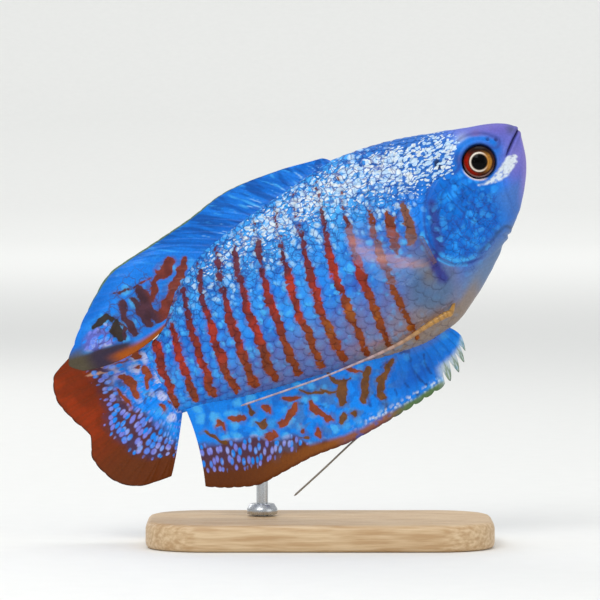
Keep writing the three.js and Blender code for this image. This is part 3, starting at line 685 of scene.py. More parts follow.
def add(tree, kind, *inputs, **settings):
    """Adds a node with its inputs, in order or by name, and its other settings. An input that is a
    socket is linked, and a node stands for its first output in use."""
    made = tree.nodes.new("ShaderNode" + kind)
    for label, value in (*settings.items(), *enumerate(inputs)):
        if str(label)[0].islower():
            setattr(made, label, value)
            continue
        socket = made.inputs[label.replace("_", " ") if isinstance(label, str) else label]
        if isinstance(value, bpy.types.Node):
            value = next(output for output in value.outputs if output.enabled)
        if isinstance(value, bpy.types.NodeSocket):
            tree.links.new(value, socket)
        else:
            socket.default_value = value
    return made


def new_material(name, bump, variation, grain, roughness, paint=None, ridged=None, **shader):
    """A painted material, varied by fine noise that also drives its roughness and its bump, with
    the noise's grain and the bump in millimetres. Its paint is the piece's own, or one colour, or a
    function that adds nodes for it. Such a function may also lay ridges over the bump, or give one
    of the shader's values."""
    material = bpy.data.materials.new(name)
    material.use_nodes = True
    material.node_tree.nodes.clear()
    node = partial(add, material.node_tree)
    place = node("TexCoord").outputs["Object"]
    fine = node("TexNoise", place, Scale=1 / (grain * MM), Detail=3.0)
    span = 0.3, 0.7  # of nearly all of the noise
    lighter = node("MapRange", fine, *span, 1 - variation, 1 + variation)
    rough = node("MapRange", fine, *span, *roughness)
    dents = node("Bump", Height=fine, Strength=0.6, Distance=bump * MM)
    if ridged:
        dents = ridged(node, dents)
    if paint is None:
        paint = node("Attribute", attribute_name="paint")
    elif callable(paint):
        paint = paint(node)
    varied = node("HueSaturation", Color=paint, Value=lighter)
    shader = {label: value(node) if callable(value) else value for label, value in shader.items()}
    surface = node("BsdfPrincipled", Base_Color=varied, Roughness=rough, Normal=dents, **shader)
    node("OutputMaterial", surface)
    return material


def once(name, make):
    """The material of this name, made by its function when it isn't there yet."""
    return bpy.data.materials.get(name) or make(name)


PALETTE = (
    ("azure", "Azure", "Base blue of the flanks", "#1c82ea"),
    ("deep", "Deep blue", "Darker blue between the scales", "#0c5cc0"),
    ("ink", "Ink blue", "Fine dark lines round scales and on the cheek", "#123f86"),
    ("sky", "Sky blue", "Light blue of the upper back", "#48b0f4"),
    ("silver", "Silver white", "Pale scales behind the eye", "#dde6ea"),
    ("frost", "Frost blue", "Fainter dashes of the pale back", "#b4d3ee"),
    ("lavender", "Lavender grey", "Lower flank", "#6c6c9e"),
    ("belly", "Belly beige", "Belly and breast", "#8f7f72"),
    ("throat", "Throat blue-grey", "Throat and lower jaw", "#4a72b6"),
    ("slate", "Slate", "Lower throat", "#6d829e"),
    ("cheek", "Cheek blue", "Cheek and gill cover", "#0070d2"),
    ("violet", "Violet", "Snout and forehead", "#6a60b4"),
    ("lilac", "Lilac", "Front edge of the lower jaw", "#8a80cc"),
    ("indigo", "Indigo", "Brow and rear of the gill cover", "#303a86"),
    # Socket blue: painted shade in the sunk socket round the eye
    ("socket", "Socket blue", "Dark skin round the eye", "#10122c"),
    # Mouth line: painted shade in the mouth line's groove and the nostril pits
    ("mouth", "Mouth line", "Inside of the mouth line and nostrils", "#2c2a58"),
    ("bar", "Bar red", "Middle of the flank's bars", "#7c2806"),
    ("plum", "Bar plum", "Upper ends of the bars", "#58263a"),
    ("rust", "Bar rust", "Lower ends of the bars and the tail's root", "#843e08"),
    ("ember", "Ember red", "Brightest red in the bars", "#a83008"),
    ("fin_blue", "Fin blue", "Base of the anal and tail fins", "#0c8af6"),
    ("dorsal_blue", "Dorsal blue", "Dorsal fin", "#0c6acc"),
    ("fin_rust", "Fin rust", "Blotches on the fins", "#8c3e0c"),
    ("dusk", "Dusk", "Purple-brown band of the fins", "#4a3350"),
    ("spot", "Lilac spot", "Small spots on the fins' outer bands", "#7b84e4"),
    ("brick", "Brick red", "Outer half of the tail fin", "#802b05"),
    ("umber", "Umber", "Edges of the anal and tail fins", "#62300e"),
    ("olive", "Olive", "Front edges and spines of the fins", "#56702e"),
    ("thread", "Thread orange", "Root of the feelers", "#b08038"),
    ("thread_tip", "Thread tip", "Tip of the feelers", "#b4a3b4"),
)
# Further colours, each for one small part
TONES = {
    # Bars, flank and breast
    "amber": "#a8600e", "dun": "#7a5a48", "nape": "#2a62b0", "dark_cell": "#3a46a4",
    "ochre": "#b07a3c", "breast": "#446a90", "khaki": "#7c6a4e", "dove": "#7d7a9a",
    # Head, with painted shade along the jaw's fold and painted shadow under the gill cover; net and
    # scales
    "cheek_glow": "#2aa0ff", "plum_spot": "#8a4a78", "cover_shadow": "#2e2c80",
    "fold": "#28364a", "crescent": "#ecd9d2", "lip": "#3b4a3c", "net": "#24429a",
    "scale_edge": "#4a4896",
    # Eye
    "pupil": "#000000", "ring": "#f1e6d6", "gold": "#c08430", "iris": "#4a2410",
    "iris_red": "#b01c08", "iris_rim": "#dcb8b0", "iris_dark": "#140b08",
    # Dorsal fin
    "ray_blue": "#0c4796", "bark": "#38210e", "moss": "#57503a", "orange": "#a2500e",
    "maroon": "#4c2a30", "chestnut": "#7c3218", "soot": "#33281a",
    # Anal fin
    "copper": "#96561a", "spine": "#b9c7cc", "spine_tip": "#1c2a12", "tan": "#6e4410",
    "steel_blue": "#4f6a8c",
    # Tail fin, and the net and palest spots of all three
    "pale_lilac": "#cbbfdc", "fire": "#a03408", "margin": "#2c160c", "salmon": "#d8a78c",
    "mud": "#4a3418", "fin_net": "#45344a", "fin_pale": "#b9c6f2",
    # Pectoral fins and feelers
    "web": "#8fb2e4", "smear": "#d0a09c", "web_root": "#8c6a60", "left_tip": "#7c7468",
    "joint": "#4a3a2c",
    # Stand
    "birch": "#b9966c", "pale_birch": "#d6bb95", "steel": "#b9bcc0",
}


def colour(tone):
    """A named colour: from the palette as the user has set it, or one of the further tones. One
    that is worked out already stays as it is."""
    if not isinstance(tone, str):
        return tone
    if tone in TONES:
        return np.array(linear(TONES[tone]))
    return np.array(getattr(bpy.context.scene.gourami_colours, tone))


def lay(ground, *coats):
    """Colours laid one over another: a ground, then coats, each a colour and its share."""
    paint = colour(ground)
    for tone, share in coats:
        paint = between(paint, colour(tone), np.clip(share, 0, 1)[..., None])
    return paint


def build_skin(shape):
    """Skin: rings set closer towards the snout, each with points evenly spaced along the section,
    up the right side and down the left."""
    half = shape.skin_points // 2
    u = NOSE_U + (STEM_END_U - NOSE_U) * np.linspace(0, 1, shape.skin_rings) ** 1.5
    row = girth_row(u)
    low, high = row[:, :1], row[:, -1:]
    angle = angle_at(u[:, None], low + (high - low) * np.linspace(0, 1, half + 1))
    u = np.broadcast_to(u[:, None], angle.shape)
    z = section(u, angle)[1]
    right, left = [
        {"place": skin_at(u, angle, side, 0.0, shape.scale_lift / MM), **skin_paints(u, z, side)}
        for side in SIDES
    ]
    grids = {key: np.concatenate([right[key], left[key][:, -2:0:-1]], 1) for key in right}
    rings = in_room(grids.pop("place"))
    flesh = ["head", "lower_jaw", "gill_cover_right", "gill_cover_left", "trunk", "tail_stem"]
    # Slimy fish skin: wet, so a low sheen under a thin clear coat
    material = marked_skin("slimy fish skin", 0.02, 0.35)
    put_tube("skin", rings, flesh, material, grids)


# Size of the scales along the fish, as a share of their size on the mid flank, and where the
# foremost ones have their roots on the nape and on the cheek, by height
scale_size = through(
    (6, 0.5), (9, 0.55), (14, 0.66), (19, 0.86), (25, 1), (44, 1), (54, 0.82), (64, 0.58)
)
nape_edge = through((1.2, 10.2), (2.6, 10.1), (4.6, 9.4), (6, 7.6), (12, 6.4))
cheek_edge = through((-11, 9.4), (-8, 7.6), (-4, 7.0), (-2.4, 8.2), (-0.6, 9.4), (1.2, 10.2))


def scale_places(pitch, side):
    """Roots of the scales of one side: columns whose spacing follows the scale size along the fish,
    and rows at whole spacings up and down from the widest line, every second row half a column on.
    Scales off the back, the belly, the eye, the snout and the bare throat are dropped, and those
    that would cross the rim of the gill cover."""
    first, last, rows = 6, 63.6, np.arange(-22, 23)
    u = np.linspace(first, last, 600)
    columns = np.insert(np.cumsum(np.diff(u) / (pitch * scale_size(u[1:]))), 0, 0)
    column, row = np.meshgrid(np.arange(int(columns[-1]) + 1), rows)
    wander = 0.12 * (scatter(column, row, 57 + side) - 0.5)
    root = np.interp(column + 0.5 * (row % 2) + wander, columns, u).ravel()
    row = row.ravel()
    size = scale_size(root)
    up = (row + 0.1 * (scatter(row, root, 58 + side) - 0.5)) * pitch * size * 0.98
    length = girth_row(root)
    keep = (up < length[:, -1] - 0.1) & (up > length[:, 0] + 0.5) & (root < last - 0.2)
    root, up, size = root[keep], up[keep], size[keep]
    z = section(root, angle_at(root, up))[1]
    tip = root + 1.5 * pitch * size
    keep = root > np.where(z > 1.2, nape_edge(z), cheek_edge(z))
    keep &= (z > -5.6 - 0.36 * root) | (root > 18.4)
    rim, tip_rim = [to_line(at, z, COVER)[0] for at in (root, tip)]
    started, ended = [inside(at, z, COVER) for at in (root, tip)]
    keep &= (started == ended) & (rim > 0.28) & (tip_rim > 0.18)
    return root[keep], up[keep], size[keep], z[keep]


def build_scales(shape, side):
    """Scales of one side. On each, p runs from root to free edge and q across: the plate widens
    from the root and its free edge is a parabola, it rises along p so that it lies on the next, and
    is domed across q. A second face just under it closes it to a thin solid plate."""
    pitch, depth = shape.scale_spacing / MM, shape.scale_lift / MM
    root, up, size, z = scale_places(pitch, side)
    key, tilt = scatter(root, up, 61 + side), scatter(up, root, 63 + side)
    root, up, size, z, key, tilt = [v[:, None, None] for v in (root, up, size, z, key, tilt)]
    p, q = np.meshgrid([0, 0.36, 0.64, 0.85, 1], np.linspace(-1, 1, 7), indexing="ij")
    length = 1.62 * pitch * size * (0.94 + 0.12 * key)
    widening = 0.72 + 0.28 * np.sin(np.clip(p / 0.75, 0, 1) * math.pi / 2)
    u = np.minimum(root + length * (p * (1 - 0.42 * q**2) + 0.04 * q**2), STEM_END_U - 0.02)
    angle = angle_at(u, up + 0.64 * pitch * size * q * widening)
    breast = hump(root, 21, 7) * ease(z, -4, -8)
    rise = 0.015 + (0.085 + 0.03 * tilt) * p + 0.03 * (1 - q**2) * np.sin(p * math.pi)
    rise = rise * (0.25 + 0.75 * size) * (1 - 0.75 * breast) * (1 - 0.4 * ease(z, -6, -13))
    thick = 0.008 + 0.035 * np.sin(np.clip(p + 0.1, 0, 1) * math.pi)
    plates = np.stack([skin_at(u, angle, side, lift, depth) for lift in (rise, rise - thick)], 1)
    count, n, m = u.shape
    faces = sheet_faces(n, m, side == RIGHT) + 2 * n * m * np.arange(count)[:, None, None]
    # Colour: the skin's own markings, with the free edges of the scales notching the bars, dark
    # lines at the free edges and a painted highlight on each scale
    z = section(u, angle)[1]
    lobe = 0.3 * size * ease(p, 0.4, 0.95) * (1 - q**2)
    paints = {"along": np.broadcast_to(p, u.shape), **skin_paints(u, z, side, u - lobe)}
    upper, soft = ease(z, -6, 4), 1 - 0.8 * breast
    # Painted highlight: a sky-blue spot on each scale towards its free edge, weaker on the breast
    painted_scale_highlight = hump(q, 0.3 * (key - 0.5), 0.45) * hump(p, 0.7, 0.24) * ease(u, 17, 21)
    edge = np.maximum(ease(p + 0.25 * q**2, 0.84, 1.0), ease(np.abs(q), 0.72, 1.0) * 0.8)
    drawn = edge * (0.2 + 0.22 * upper) * (0.4 + 0.6 * tilt)
    paints["paint"] = lay(
        paints["paint"],
        ("sky", painted_scale_highlight * (0.1 + 0.25 * key + 0.1 * upper) * soft),
        (lay("scale_edge", ("ink", upper)), drawn * soft),
    )
    paints["tone"] = lay(paints["tone"], ("socket", 0.12 * edge))
    # Map for baking: each scale is a small patch at its root's place on the unrolled skin, its two
    # faces side by side
    patch, span, margin, tallest = 0.0035, 0.94, 0.02, 20
    patch_u = (root - NOSE_U) / (STEM_END_U - NOSE_U) * span + margin + patch * p
    patch_v = (up + tallest) / (2 * tallest) * span + margin + patch * (q * 0.5 + 0.5)
    patches = grid_of(patch_u, patch_v)
    put(
        "scales_" + SIDES[side], in_room(plates), faces.reshape(-1, 4).tolist(), None,
        once("guanine-backed scale", scale_material),
        {key: np.stack([grid, grid], 1) for key, grid in paints.items()},
        np.stack([patches, patches + [0, patch * 1.05]], 1),
    )


def markings(
    node, cell_size=1.1, dash_tones=("silver", "frost", "frost"), line="net", rough=1.25, laid=False
):
    """The fish's fine markings over the piece's paint, in the fish's own frame in millimetres,
    pushed about by soft noise: light cells, small dashes or spots, a dark net on the cells' edges,
    and the bars with a faint halo, where the piece's depth into a bar plus fine noise is above
    zero. On a fin the spots are laid along its rays. Each Map Range is given its value, the range
    that comes in and the range that goes out."""
    flecks = [(*colour(tone), 1) for tone in dash_tones]
    place = node("TexCoord").outputs["Object"]
    fish = node("Mapping", place, Rotation=(0, PITCH, 0), Scale=(1000, 700, 1000))
    soft = node("TexNoise", fish, Scale=0.7, Detail=2.0)
    push = (1.5, 1.5, 1.5)
    pushed = node("VectorMath", soft.outputs["Color"], push, fish, operation="MULTIPLY_ADD")
    pale, net, glint, bar = [
        node("Attribute", attribute_name=label).outputs["Fac"]
        for label in ("pale", "net", "glint", "bar")
    ]
    cell = node("TexVoronoi", pushed, Scale=1 / cell_size)
    core = node("MapRange", cell.outputs["Distance"], 0.52, 0.26)
    chosen = node("MapRange", cell.outputs["Color"], 0.4, 0.58)
    some = node("Math", core, chosen, operation="MULTIPLY")
    lit = node("Math", some, glint, operation="MULTIPLY")
    palest = node("MapRange", pale, -0.1, 0.14)
    light = node("Mix", data_type="RGBA", Factor=palest, A=(*colour("sky"), 1), B=flecks[2])
    if laid:
        lie = node("Attribute", attribute_name="lay").outputs["Vector"]
        dash = node("TexVoronoi", lie, voronoi_dimensions="2D", Scale=1.0, Randomness=0.8)
        edge = -0.1, 0.12
    else:
        slant = (0, math.radians(-16), 0)
        lie = node("Mapping", pushed, Rotation=slant, Scale=(1.35, 1.6, 2.8))
        dash = node("TexVoronoi", lie, Scale=1.0)
        edge = -0.04, 0.08
    inside_dash = node("Math", pale, dash.outputs["Distance"], operation="SUBTRACT")
    dashes = node("MapRange", inside_dash, *edge, 0, 0.95)
    which = node("MapRange", dash.outputs["Color"], 0.4, 0.62)
    fleck = node("Mix", data_type="RGBA", Factor=which, A=flecks[0], B=flecks[1])
    pallor = node("MapRange", soft.outputs["Fac"], 0.5, 0.64, 0, 0.4)
    fleck = node("Mix", data_type="RGBA", Factor=pallor, A=fleck, B=flecks[2])
    rim = node("TexVoronoi", pushed, feature="DISTANCE_TO_EDGE", Scale=1 / cell_size)
    on_rim = node("Math", net, rim.outputs["Distance"], operation="SUBTRACT")
    on_net = node("MapRange", on_rim, -0.02, 0.04, 0, 0.7)
    ragged = node("TexNoise", fish, Scale=1.4, Detail=3.0)
    depth = node("Math", ragged.outputs["Fac"], rough, bar, operation="MULTIPLY_ADD")
    in_bar = node("MapRange", depth, 0.5 * rough - 0.06, 0.5 * rough + 0.08, 0, 0.97)
    halo = node("MapRange", depth, 0.5 * rough - 0.5, 0.5 * rough, 0, 0.32)
    shade = node("MapRange", soft.outputs["Fac"], 0.35, 0.65, 0.75, 1.2)
    tone = node("HueSaturation", Color=node("Attribute", attribute_name="tone"), Value=shade)
    line = (*colour(line), 1)
    layer = node("Attribute", attribute_name="paint")
    coats = (lit, light), (dashes, fleck), (on_net, line), (halo, tone), (in_bar, tone)
    for share, over in coats:
        layer = node("Mix", data_type="RGBA", Factor=share, A=layer, B=over)
    return layer


def marked_skin(name, bump, grain, ridged=None, **pattern):
    """Skin, scales or fin web with the fish's fine markings. Wet skin, so a low sheen under a
    thin clear coat."""
    return new_material(
        name, bump, 0.1, grain, (0.34, 0.5), partial(markings, **pattern), ridged,
        Coat_Weight=0.08, Coat_Roughness=0.14, Specular_IOR_Level=0.12,
    )


RING_PHASE = 62.0  # of the growth rings' wave from a scale's root to its free edge, in radians


def growth_rings(node, dents):
    """Rings along each scale, a sine of its length, over the fine bump."""
    along = node("Attribute", attribute_name="along").outputs["Fac"]
    waves = node("Math", node("Math", along, RING_PHASE, operation="MULTIPLY"), operation="SINE")
    return node("Bump", Height=waves, Normal=dents, Strength=0.25, Distance=0.01 * MM)


def scale_material(name):
    """Guanine-backed scales: a clear hard plate over mirror crystals, with the skin's low sheen
    under a thin clear coat. The growth rings along each plate are about 0.3 mm apart, drawn coarser
    than life."""
    return marked_skin(name, 0.01, 0.25, ridged=growth_rings)


def build_eye(side):
    """Eyeball: an ellipsoid from its front pole, whose share of the radius sets the pupil, the thin
    bright ring, the brown iris with its red rear and gold front, and the pale lower rim, with
    painted shade over the top of the iris under the upper lid."""
    rings, around = 60, 96
    polar = np.linspace(0.02, math.pi - 0.05, rings)
    polar, turn = np.meshgrid(polar, turns(around), indexing="ij")
    r = np.sin(polar)
    centre = flank(EYE_U, EYE_Z) + EYE_BULGE - EYE_DEPTH
    out = centre + (EYE_DEPTH + 0.12 * hump(polar, 0, 0.55)) * np.cos(polar)
    u = EYE_U + EYE_RADIUS * r * np.cos(turn)
    z = EYE_Z + EYE_RADIUS * r * np.sin(turn)
    fibre = cloud(turn * 9, r * 2.4, 0.5, 71)
    rear, ahead = hump(np.cos(turn - 0.15), 1, 0.55), hump(np.cos(turn - 3.55), 1, 0.5)
    lid_shadow, below = hump(np.cos(turn - 2.06), 1, 0.5), hump(np.cos(turn + 0.95), 1, 0.5)
    paint = lay(
        "iris",
        ("iris_dark", 0.6 * (1 - fibre)),
        ("iris_red", rear * ease(r, 0.62, 0.75) * ease(r, 0.99, 0.9) * (0.6 + 0.4 * fibre)),
        ("gold", ahead * ease(r, 0.6, 0.66) * ease(r, 0.84, 0.74) * (0.4 + 0.6 * fibre)),
        # Painted shade: the top of the iris darkened where the upper lid shades it
        ("iris_dark", 0.9 * lid_shadow * ease(r, 0.62, 0.8)),
        ("iris_rim", 0.85 * ease(r, 0.86, 0.93) * below),
        (lay("ring", ("gold", ahead)), ease(r, 0.5, 0.53) * ease(r, 0.64, 0.58)),
        ("pupil", ease(r, 0.53, 0.49) * (polar < 1.5)),
        ("iris_dark", ease(polar, 1.35, 1.55)),
    )
    name, material = "eye_" + SIDES[side], once("wet cornea over iris", eye_material)
    rings = in_room(grid_of(-u, side * out, z))
    put_tube(name + "_globe", rings, [name], material, {"paint": paint}, side == LEFT)


def eye_material(name):
    """A wet fish eye: a clear smooth cornea over the iris, seen as a sharp clear coat."""
    return new_material(
        name, 0.002, 0.08, 0.18, (0.2, 0.3), Coat_Weight=0.12, Coat_Roughness=0.02,
        Specular_IOR_Level=0.02,
    )


# Fin outlines: share of the root, the root's u, and the margin's u and z there
def margins(rows):
    """One smooth curve for each column of a fin's outline."""
    rows = np.array(rows, float)
    return [through(*zip(rows[:, 0], rows[:, k])) for k in range(1, rows.shape[1])]


DORSAL_ROOT, DORSAL_TIP_U, DORSAL_TIP_Z = margins([
    (0, 25.6, 27.6, 12.9), (0.12, 29.6, 33.4, 14.3), (0.28, 35.4, 41.6, 15.2),
    (0.45, 41.6, 49.2, 14.1), (0.6, 46.8, 56, 13.4), (0.72, 50.8, 62.2, 12.8),
    (0.82, 54, 68.4, 9.3), (0.91, 57, 72.6, 5.8), (0.97, 59, 74.8, 3.3), (1, 60, 73.4, 1.6),
])
ANAL_ROOT, ANAL_TIP_U, ANAL_TIP_Z = margins([
    (0, 22, 20.9, -21.9), (0.05, 23.3, 22.2, -24.1), (0.1, 24.8, 24.2, -25.4),
    (0.16, 26.8, 27.4, -26.1), (0.3, 32.2, 34.6, -26.6), (0.45, 38.6, 42.2, -26.8),
    (0.62, 45.6, 50, -26.1), (0.78, 52.4, 57.2, -26.2), (0.9, 58, 62, -24.6),
    (1, 62.6, 65.5, -22.6),
])
TAIL_ROOT, TAIL_ROOT_Z, TAIL_TIP_U, TAIL_TIP_Z = margins([
    (0, 62.5, 1.0, 74.6, 4.2), (0.12, 63.8, -0.7, 78.2, 2.6), (0.24, 64, -2.4, 79.4, -0.8),
    (0.38, 64, -4, 78.5, -4.6), (0.5, 64, -5.4, 77.4, -7.7), (0.62, 64, -6.8, 78.7, -11),
    (0.76, 64, -8.4, 77.6, -15.1), (0.88, 64, -9.8, 74, -18.1), (1, 64, -11.1, 69.4, -18.9),
])


def dorsal_middle(s, r):
    """Middle of the dorsal fin: rays from just inside the back to the margin, swept back and bowed,
    the rear ones leaning to the right of the tail fin."""
    root = DORSAL_ROOT(s)
    u = between(root, DORSAL_TIP_U(s), r)
    z = between(back(root) - 0.5, DORSAL_TIP_Z(s), r)
    z = z + 4 * r * (1 - r) * (0.5 - 1.65 * ease(s, 0.86, 1))
    lean = -3.4 * ease(s, 0.55, 0.95) * ease(r, 0, 0.75) - sway(u) * 0.6 * r
    return grid_of(-u, lean + sway(u), z)


def anal_middle(s, r):
    """Middle of the anal fin: rays from just inside the belly, bowed forward, in a slight wave."""
    root = ANAL_ROOT(s)
    u = between(root, ANAL_TIP_U(s), r) - 2 * r * (1 - r)
    return grid_of(
        -u, 0.35 * np.sin(s * 11) * r + sway(u), between(belly(root) + 0.5, ANAL_TIP_Z(s), r)
    )


def tail_middle(s, r):
    """Middle of the tail fin: rays fanning out from the tail stem, in a slight wave."""
    spread = 3.6 * r * (1 - r) * np.sin((s - 0.5) * math.pi)
    u = between(TAIL_ROOT(s) - 0.7, TAIL_TIP_U(s), r) + 2 * r * (1 - r)
    y = 0.5 * np.sin(s * 7 + 0.6) * r * r + 0.5 * r
    return grid_of(-u, y + sway(u), between(TAIL_ROOT_Z(s), TAIL_TIP_Z(s), r) - spread)


JOINT_PHASE = 150.0  # of the wave of joints along a ray or a thread, in radians


def ray_fin(middle_of, face, rays, columns, rows, web, ridge, foot, notch, branch):
    """Both faces of a fin. Across each ray's share of the root the fin is a thin web with a narrow
    ridge, which parts in two past the branching share and is ringed like a real ray's segments;
    the margin is drawn in between the rays, and the fin thins from foot to margin."""
    s = np.linspace(0, 1, rays * columns + 1)[:, None]
    r = np.linspace(0, 1, rows)[None, :]
    phase = (s * rays) % 1 - 0.5
    split = 0.2 * ease(r, branch, 1.0)
    crest = np.maximum(hump(phase, split, 0.1), hump(phase, -split, 0.1))
    reach = 1 - notch(s) * np.abs(2 * phase) ** np.where(notch(s) > 0.2, 1.6, 2.5)
    s, r, reach = np.broadcast_arrays(s, r * reach, reach)
    rings = 1 + 0.25 * np.cos(r * JOINT_PHASE) * ease(r, 0.25, 0.4)
    half = web * (1 - 0.7 * r) + ridge * crest * (1 - 0.65 * r) * rings + foot(s) * (1 - r) ** 8
    half = half * (1 - 0.8 * ease(r / reach, 0.95, 1.0))
    centre, out = middle_of(s, r), face * half[..., None]
    return np.stack([centre + out, centre - out]), s, r, crest


def put_sheet(name, faces, material, paints, flip):
    """Makes a fin from the grids of its two faces, with the same paints on both."""
    both = {label: np.stack([grid, grid]) for label, grid in paints.items()}
    quads = sheet_faces(*faces.shape[1:3], flip)
    put(name + "_web", in_room(faces), quads.tolist(), [name], material, both)


def fin_marks(plain, spots, net, glint, depth):
    """The markings' sizes on a fin, as on the skin, where it is plain, and none elsewhere."""
    return {
        "pale": NO_SPOT + spots * plain, "net": NO_NET + net * plain, "glint": glint * plain,
        "bar": depth * plain - 1 + plain,
    }


# Strokes read off the fish's own fins: half width, then the places each runs through
DORSAL_MARKS = (
    (0.63, (54.4, 9.9), (55.8, 9.1), (57.4, 8.3)), (0.45, (57.8, 8.5), (58.3, 7.0), (59.0, 6.2)),
    (0.54, (52.4, 8.8), (53.6, 7.8), (54.9, 6.7), (56.2, 5.8)),
    (0.57, (56.2, 5.8), (57.3, 4.7), (58.6, 3.3), (59.7, 2.7)),
    (0.60, (60.2, 8.2), (60.2, 6.2), (60.3, 4.5), (60.0, 3.0)),
    (0.48, (61.7, 7.7), (61.6, 5.9), (61.5, 4.2), (61.5, 2.5)),
    (0.42, (63.3, 8.2), (63.9, 6.4), (64.0, 4.8), (63.8, 3.3), (63.8, 2.0)),
    (0.27, (65.1, 5.1), (65.5, 3.3), (65.5, 2.0)),
    (0.14, (64.6, 9.5), (63.0, 9.4), (61.4, 9.1), (59.8, 9.0), (58.0, 9.1)),
)
DORSAL_DARK = (
    (0.45, (65.7, 6.5), (66.7, 6.9), (67.7, 6.8), (68.8, 6.5)),
    (0.36, (65.5, 5.9), (66.2, 4.3), (66.5, 2.4)),
)
ANAL_RUST = (
    (0.42, (57.1, -15.0), (55.7, -16.3)), (0.42, (59.3, -14.7), (58.8, -15.8)),
    (0.57, (52.1, -15.9), (51.4, -16.5)), (0.39, (48.5, -16.7), (47.1, -17.3)),
    (0.49, (47.6, -18.3), (48.9, -19.2), (50.1, -19.4), (50.7, -19.3)),
    (0.54, (45.4, -19.2), (45.3, -20.3), (44.7, -21.4), (44.0, -22.1)),
    (0.39, (53.9, -20.1), (52.3, -20.4)), (0.33, (48.9, -21.6), (48.1, -21.7)),
    (0.28, (46.5, -22.9), (46.5, -23.9)), (0.33, (36.7, -19.2), (37.6, -20.8)),
    (0.30, (38.4, -15.9), (37.6, -17.0), (36.7, -17.9)),
)
ANAL_BROWN = (
    (0.30, (54.3, -17.7), (53.6, -18.4), (52.6, -18.1)),
    (0.26, (61.7, -15.4), (60.9, -16.2), (60.3, -17.2), (59.6, -18.1)),
    (0.48, (39.8, -17.9), (40.3, -19.3), (40.8, -20.5), (41.3, -21.2)),
    (0.45, (35.6, -18.1), (37.0, -19.7), (37.8, -21.0), (38.3, -22.5)),
    (0.36, (31.7, -19.1), (33.2, -20.0), (34.6, -20.7), (35.3, -21.7), (35.5, -23.3)),
    (0.22, (41.6, -15.6), (40.7, -17.4), (38.7, -18.5)),
    (0.20, (46.0, -16.3), (44.2, -17.6), (42.2, -18.7), (41.0, -19.0)),
    (0.42, (42.0, -23.0), (42.9, -23.6)), (0.34, (40.4, -23.3), (41.0, -24.1)),
    (0.28, (54.3, -14.9), (54.4, -16.3)), (0.18, (49.3, -22.4), (48.4, -23.9)),
)
ANAL_SEAMS = (
    (0.09, (35.1, -22.5), (35.9, -24.7), (37.7, -25.5), (38.7, -24.3)),
    (0.07, (36.8, -20.6), (37.7, -22.7), (37.9, -24.7)),
    (0.07, (47.0, -18.1), (44.8, -19.7), (42.8, -20.4)),
    (0.07, (26.6, -19.4), (27.6, -21.6), (27.2, -24.4)),
    (0.06, (28.8, -18.6), (29.6, -21.4), (29.0, -24.6)),
    (0.05, (31.4, -19.8), (31.6, -22.6), (30.8, -25.2)),
    (0.05, (33.2, -20.6), (33.4, -22.8), (33.8, -25.0)),
    (0.06, (24.6, -18.9), (29.0, -18.4), (34.0, -18.9)), (0.05, (36.6, -21.8), (36.0, -24.0)),
)
TAIL_MARKS = (
    (0.51, (65.0, -2.5), (65.2, -3.5)), (0.36, (65.2, -3.5), (66.0, -4.7)),
    (0.38, (69.0, -1.9), (68.3, -3.1), (67.9, -4.3), (68.1, -5.9)),
    (0.27, (66.2, 0.5), (65.2, -0.3)), (0.22, (65.4, -1.9), (66.5, -2.0)),
    (0.27, (65.8, -8.8), (65.5, -9.7)),
    (0.14, (64.0, -9.1), (63.7, -10.3), (62.6, -11.2)),
    (0.24, (70.3, -3.7), (70.2, -5.5), (70.0, -7.0)),
)
TAIL_PALE = ((0.09, (70.8, 0.6), (72.4, 1.6)), (0.1, (70.4, -0.6), (72.2, 0.2), (73.8, 0.6)))
TAIL_ORANGE = ((0.16, (64, 0.6), (67, -0.1), (69.4, 0.2)),)
# Bands of the fins: the dorsal fin's dark lower edge and olive rim, where the anal fin's dusky band
# and rim start, and where the tail's dusky band, red outer part and red lower part start
dorsal_low = through((60, 0.8), (65, 2.0), (69, 3.1), (73, 3.7), (75, 4.2))
dorsal_rim = through((0, 0.965), (0.3, 0.96), (0.5, 0.925), (0.68, 0.93), (0.8, 0.985), (1, 1.1))
anal_band = through(
    (44, -25.6), (48.4, -24.4), (49.8, -22.2), (52.4, -21.3), (55.6, -19.4), (60.4, -17.8),
    (64, -16.2),
)
anal_rim = through((0, 0.87), (0.28, 0.89), (0.45, 0.89), (0.62, 0.84), (0.75, 0.8), (1, 0.84))
tail_band = through(
    (-16, 65.6), (-13.8, 66.6), (-10.9, 67.4), (-8.6, 68.4), (-5.9, 70.0), (-2.3, 70.8), (2, 70.2)
)
tail_red = through(
    (-19, 66.8), (-16, 68.2), (-15.2, 71), (-11.8, 73.6), (-8.6, 74.6), (-3.4, 73.0), (1.6, 73.4),
    (4, 74),
)
tail_low = through((63, -16.2), (68, -16.0), (71, -15.2), (74, -13))


